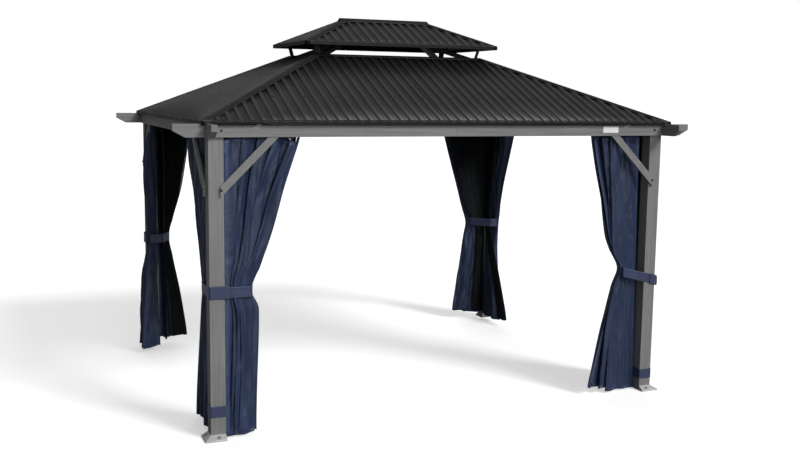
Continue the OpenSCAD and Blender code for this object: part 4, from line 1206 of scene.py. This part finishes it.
# ---- Tiebacks and post straps --------------------------------------------------------
# Doubled bands of the curtain cloth, edge-stitched. One is drawn round each post and both its
# curtains at waist height and closed with a tab; a short one stays round the foot of the post.

band_cloth = navy_cloth("navy band cloth", (0.026, 0.036, 0.085, 1), (0.036, 0.050, 0.102, 1),
                        hem_width=0.006, sheen=0.35, drape=3.0)
# Where points lie across a band, as shares of its width, and which of them are its seams.
ACROSS = (-0.5, -0.42, -0.3, -0.1, 0.1, 0.3, 0.42, 0.5)
SEAMS = (1, 6)
BAND_THICK = 0.0022
STITCH_OUT = 0.0013


def rounded_path(corners, radius, count):
    """A closed path round the corner points with rounded turns, as evenly spaced points."""
    dense = []
    many = len(corners)
    for i in range(many):
        before, here, after = (Vector(corners[(i + k) % many]) for k in (-1, 0, 1))
        one, two = (before - here).normalized(), (after - here).normalized()
        r = min(radius, (before - here).length * 0.45, (after - here).length * 0.45)
        for t in np.linspace(0, 1, 9):
            dense.append(tuple(here + one * r * (1 - t) ** 2 + two * r * t ** 2))
    dense.append(dense[0])
    dense = np.array(dense)
    run = np.concatenate([[0], np.cumsum(np.linalg.norm(np.diff(dense, axis=0), axis=1))])
    even = np.linspace(0, run[-1], count + 1)[:-1]
    return np.stack([np.interp(even, run, dense[:, k]) for k in (0, 1)], 1), run[-1]


def band(name, corner, outline, radius, middle, wide, tilt=(0.0, 0.0), ripple=0.0012, count=150,
         seed=3):
    """A closed band round an outline at a corner: x along the long side, y along the short."""
    path, length = rounded_path(outline, radius, count)
    rng = np.random.default_rng(seed)
    wave, sag = wavy(rng, 4, 5.0), wavy(rng, 4, 4.0)
    centre = path.mean(0)
    rows, thread, hem, seams = [], [], [], []
    for i, (x, y) in enumerate(path):
        turn = 2 * math.pi * i / count
        out = Vector((x - centre[0], y - centre[1])).normalized()
        row, threads, hems = [], [], []
        for share in ACROSS:
            puff = ripple * (wave(turn) +
                             0.8 * math.cos(share * math.pi * 2) * sag(turn * 2 + share * 3))
            z = middle + share * wide + tilt[0] * x + tilt[1] * y + 0.0015 * sag(turn * 3)
            row.append((x + out.x * puff - POST, y + out.y * puff, z))
            threads.append((length * i / count, share * wide, 0))
            hems.append((0.5 - abs(share)) * wide)
        rows.append(row)
        seams.append([(row[k][0] + out.x * STITCH_OUT, row[k][1] + out.y * STITCH_OUT, row[k][2])
                      for k in SEAMS])
        thread.append(threads)
        hem.append(hems)
    piece = cloth_piece(name, rows, {"thread": thread, "hem": hem}, corner, band_cloth, BAND_THICK,
                        flip=not mirrored(corner), ring=True)
    return piece, length, to_corner(np.array(seams), corner)


def stitched(run, pitch=0.0068):
    """Spots along a run of points, a stitch apart, each facing along the run."""
    run = np.asarray(run)
    along = np.concatenate([[0], np.cumsum(np.linalg.norm(np.diff(run, axis=0), axis=1))])
    stops = np.arange(0, along[-1] - pitch / 2, pitch)
    at = np.stack([np.interp(stops, along, run[:, k]) for k in range(3)], 1)
    ahead = np.stack([np.interp(stops + pitch / 2, along, run[:, k]) for k in range(3)], 1) - at
    return list(zip(at, ahead))


def tab(name, corner, start, end, out_by, middle, wide, tilt=0.0):
    """The loose end of a band, lying on it across the post's front face."""
    rows, thread, hem = [], [], []
    for share in np.linspace(0, 1, 16):
        x = start + (end - start) * share
        row, threads, hems = [], [], []
        lift = (0.0008 * math.sin(share * math.pi) + 0.0030 * share ** 4
                + 0.0012 * math.sin(share * 9))
        for place in ACROSS:
            corner_cut = 0.006 * max(0.0, (share - 0.9) / 0.1) ** 2 * abs(2 * place) ** 6
            row.append((x - math.copysign(corner_cut, end - start) - POST, -out_by - lift,
                        middle + place * wide + tilt * x + 0.0015 * math.sin(share * 5)))
            threads.append((x, place * wide, 0))
            hems.append(min((0.5 - abs(place)) * wide, abs(end - x)))
        rows.append(row)
        thread.append(threads)
        hem.append(hems)
    seams = [[(row[k][0], row[k][1] - STITCH_OUT, row[k][2]) for k in SEAMS] for row in rows[:-1]]
    piece = cloth_piece(name, rows, {"thread": thread, "hem": hem}, corner, band_cloth, 0.0020,
                        flip=mirrored(corner) != (end > start))
    return piece, to_corner(np.array(seams), corner)


STITCH = {"Thick": 0.00045, "Long": 0.0044}
stitch, given, made = growing("stitch", {**STITCH, "Material": ""})
bar = put(stitch, "GeometryNodeMeshCylinder",
          {"Vertices": 5, "Radius": given["Thick"], "Depth": given["Long"]}).outputs[0]
on_points(stitch, given, made, bar)
sewing_thread, tree, shader = finish_named("navy sewing thread", Specular_IOR_Level=0.3)
twist = cloudy(tree, where(tree), 1800, 2)
tree.links.new(mixed(tree, twist, (0.040, 0.052, 0.100, 1), (0.075, 0.092, 0.160, 1)),
               shader.inputs["Base Color"])
tree.links.new(spread(tree, twist, 0.3, 0.7, 0.5, 0.7), shader.inputs["Roughness"])

# For each corner: the tieback's height, width, and slope along and across; the post strap's
# height; and the tab's start and end along the front, its height, width and slope.
TIES = {"front_left": ((0.987, 0.073, (0.0, 0.0)), 0.192, (-0.001, 0.134, 0.991, 0.086, 0.0)),
        "front_right": ((0.882, 0.074, (0.24, 0.0)), 0.134, (0.050, -0.016, 0.880, 0.080, 0.24)),
        "back_left": ((0.985, 0.076, (0.0, 0.02)), 0.19, (0.010, 0.110, 0.987, 0.080, 0.0)),
        "back_right": ((1.004, 0.076, (0.02, 0.0)), 0.185, (0.010, 0.110, 1.006, 0.080, 0.02))}
STRAP_WIDE = 0.077
seam_spots = []


def fastened(piece, seams):
    fixed(piece, "strap_cloth", "tieback_straps")
    for side in (0, 1):
        seam_spots.extend(stitched(seams[:, side]))


def width_at_tie(hang):
    """Reads a drape's width at the tie from its table, which runs from the top down."""
    return np.interp(TIE_LEVEL, *zip(*hang["widths"][::-1]))


for number, (corner, ((middle, wide, tilt), strap_up, tab_place)) in enumerate(TIES.items()):
    near = -BAND_THICK
    far = POST + BAND_THICK
    long, short = (width_at_tie(HANG[(corner, swap)]) + POST + 0.006 for swap in (False, True))
    outline = [(near, near), (long, 0.002), (long + 0.002, 0.085), (0.092, short + 0.002),
               (0.002, short)]
    if corner == "back_left":
        outline[3:] = [(0.115, short + 0.002), (-0.030, short - 0.010), (-0.030, POST + 0.030)]
    loop, length, seams = band("tieback_" + corner, corner, outline, 0.018, middle, wide, tilt,
                               seed=20 + number)
    fastened(loop, seams)
    square = [(near, near), (far, near), (far, far), (near, far)]
    strap, length, seams = band("post_strap_" + corner, corner, square, 0.005, strap_up, STRAP_WIDE,
                                ripple=0.0004, count=88, seed=60 + number)
    fastened(strap, seams)
    start, end, tab_up, tab_wide, slope = tab_place
    flap, seams = tab("tie_tab_" + corner, corner, start, end, 0.0062, tab_up, tab_wide, slope)
    fastened(flap, seams)
on_spots("band_stitches", seam_spots, stitch, sewing_thread, "strap_cloth", **STITCH)


# ---- Floor, light and camera ---------------------------------------------------------
# A plain pale floor, soft light from the front right, and a camera at standing height.

FLOOR_HALF = 300
floor_corners = [(x * FLOOR_HALF, y * FLOOR_HALF, 0)
                 for x, y in ((-1, -1), (1, -1), (1, 1), (-1, 1))]
floor_mesh = bpy.data.meshes.new("floor")
floor_mesh.from_pydata(floor_corners, [], [(0, 1, 2, 3)])
pale, tree, shader = finish_named("pale floor", Specular_IOR_Level=0.1, Roughness=0.9,
                                  Emission_Strength=0.42)
seen = tree.nodes.new("ShaderNodeLightPath").outputs["Is Camera Ray"]
tone = mixed(tree, cloudy(tree, where(tree), 3, 4), (0.87, 0.87, 0.87, 1), (0.90, 0.90, 0.895, 1))
tree.links.new(mixed(tree, seen, (0.24, 0.24, 0.24, 1), tone), shader.inputs["Base Color"])
tree.links.new(mixed(tree, seen, (0, 0, 0, 1), (1, 1, 1, 1)), shader.inputs["Emission Color"])
floor = object_of(floor_mesh, "floor", pale)

world = bpy.data.worlds.new("studio")
bpy.context.scene.world = world
world.use_nodes = True
tree = world.node_tree
tree.nodes.clear()
dim = put(tree, "ShaderNodeBackground", {"Color": (1, 1, 1, 1), "Strength": 0.16})
bright = put(tree, "ShaderNodeBackground", {"Color": (1, 1, 1, 1), "Strength": 1.0})
seen = tree.nodes.new("ShaderNodeLightPath").outputs["Is Camera Ray"]
both = put(tree, "ShaderNodeMixShader", {0: seen, 1: dim.outputs[0], 2: bright.outputs[0]})
tree.links.new(both.outputs[0], tree.nodes.new("ShaderNodeOutputWorld").inputs[0])


def lamp(name, kind, energy, towards, **settings):
    data = bpy.data.lights.new(name, kind)
    data.energy = energy
    for key, value in settings.items():
        setattr(data, key, value)
    light = bpy.data.objects.new(name, data)
    light.rotation_euler = Vector(towards).to_track_quat("-Z", "Y").to_euler()
    bpy.context.scene.collection.objects.link(light)
    return light


lamp("key", "SUN", 2.3, (-0.45, 0.75, -0.62), angle=math.radians(18))
lamp("low", "SUN", 0.95, (-0.06, 1.0, -0.20), angle=math.radians(24))
lamp("fill", "SUN", 0.14, (0.7, 0.6, -0.9), angle=math.radians(60))
lamp("behind", "SUN", 1.6, (-0.24, -0.95, -0.34), angle=math.radians(60)).visible_glossy = False

# Where the camera stands, its turn to the left, its tilt up and its roll. The focal length is
# a share of the frame's width.
EYE = Vector((-3.0567, -7.8284, 2.3037))
YAW, TIP, ROLL = (math.radians(a) for a in (-22.3955, -7.5063, 0.803))
FOCAL_SHARE = 1011.0282 / 800
SENSOR = 36
ahead = Vector((-math.sin(YAW) * math.cos(TIP), math.cos(YAW) * math.cos(TIP), math.sin(TIP)))
right = Vector((math.cos(YAW), math.sin(YAW), 0))
up = right.cross(ahead)
level_right = math.cos(ROLL) * right + math.sin(ROLL) * up
level_up = -math.sin(ROLL) * right + math.cos(ROLL) * up
lens = bpy.data.cameras.new("camera")
lens.sensor_width = SENSOR
lens.lens = FOCAL_SHARE * SENSOR
camera = bpy.data.objects.new("camera", lens)
camera.matrix_world = Matrix((level_right, level_up, -ahead)).transposed().to_4x4()
camera.location = EYE
bpy.context.scene.collection.objects.link(camera)
bpy.context.scene.camera = camera
bpy.context.scene.view_settings.view_transform = "Standard"
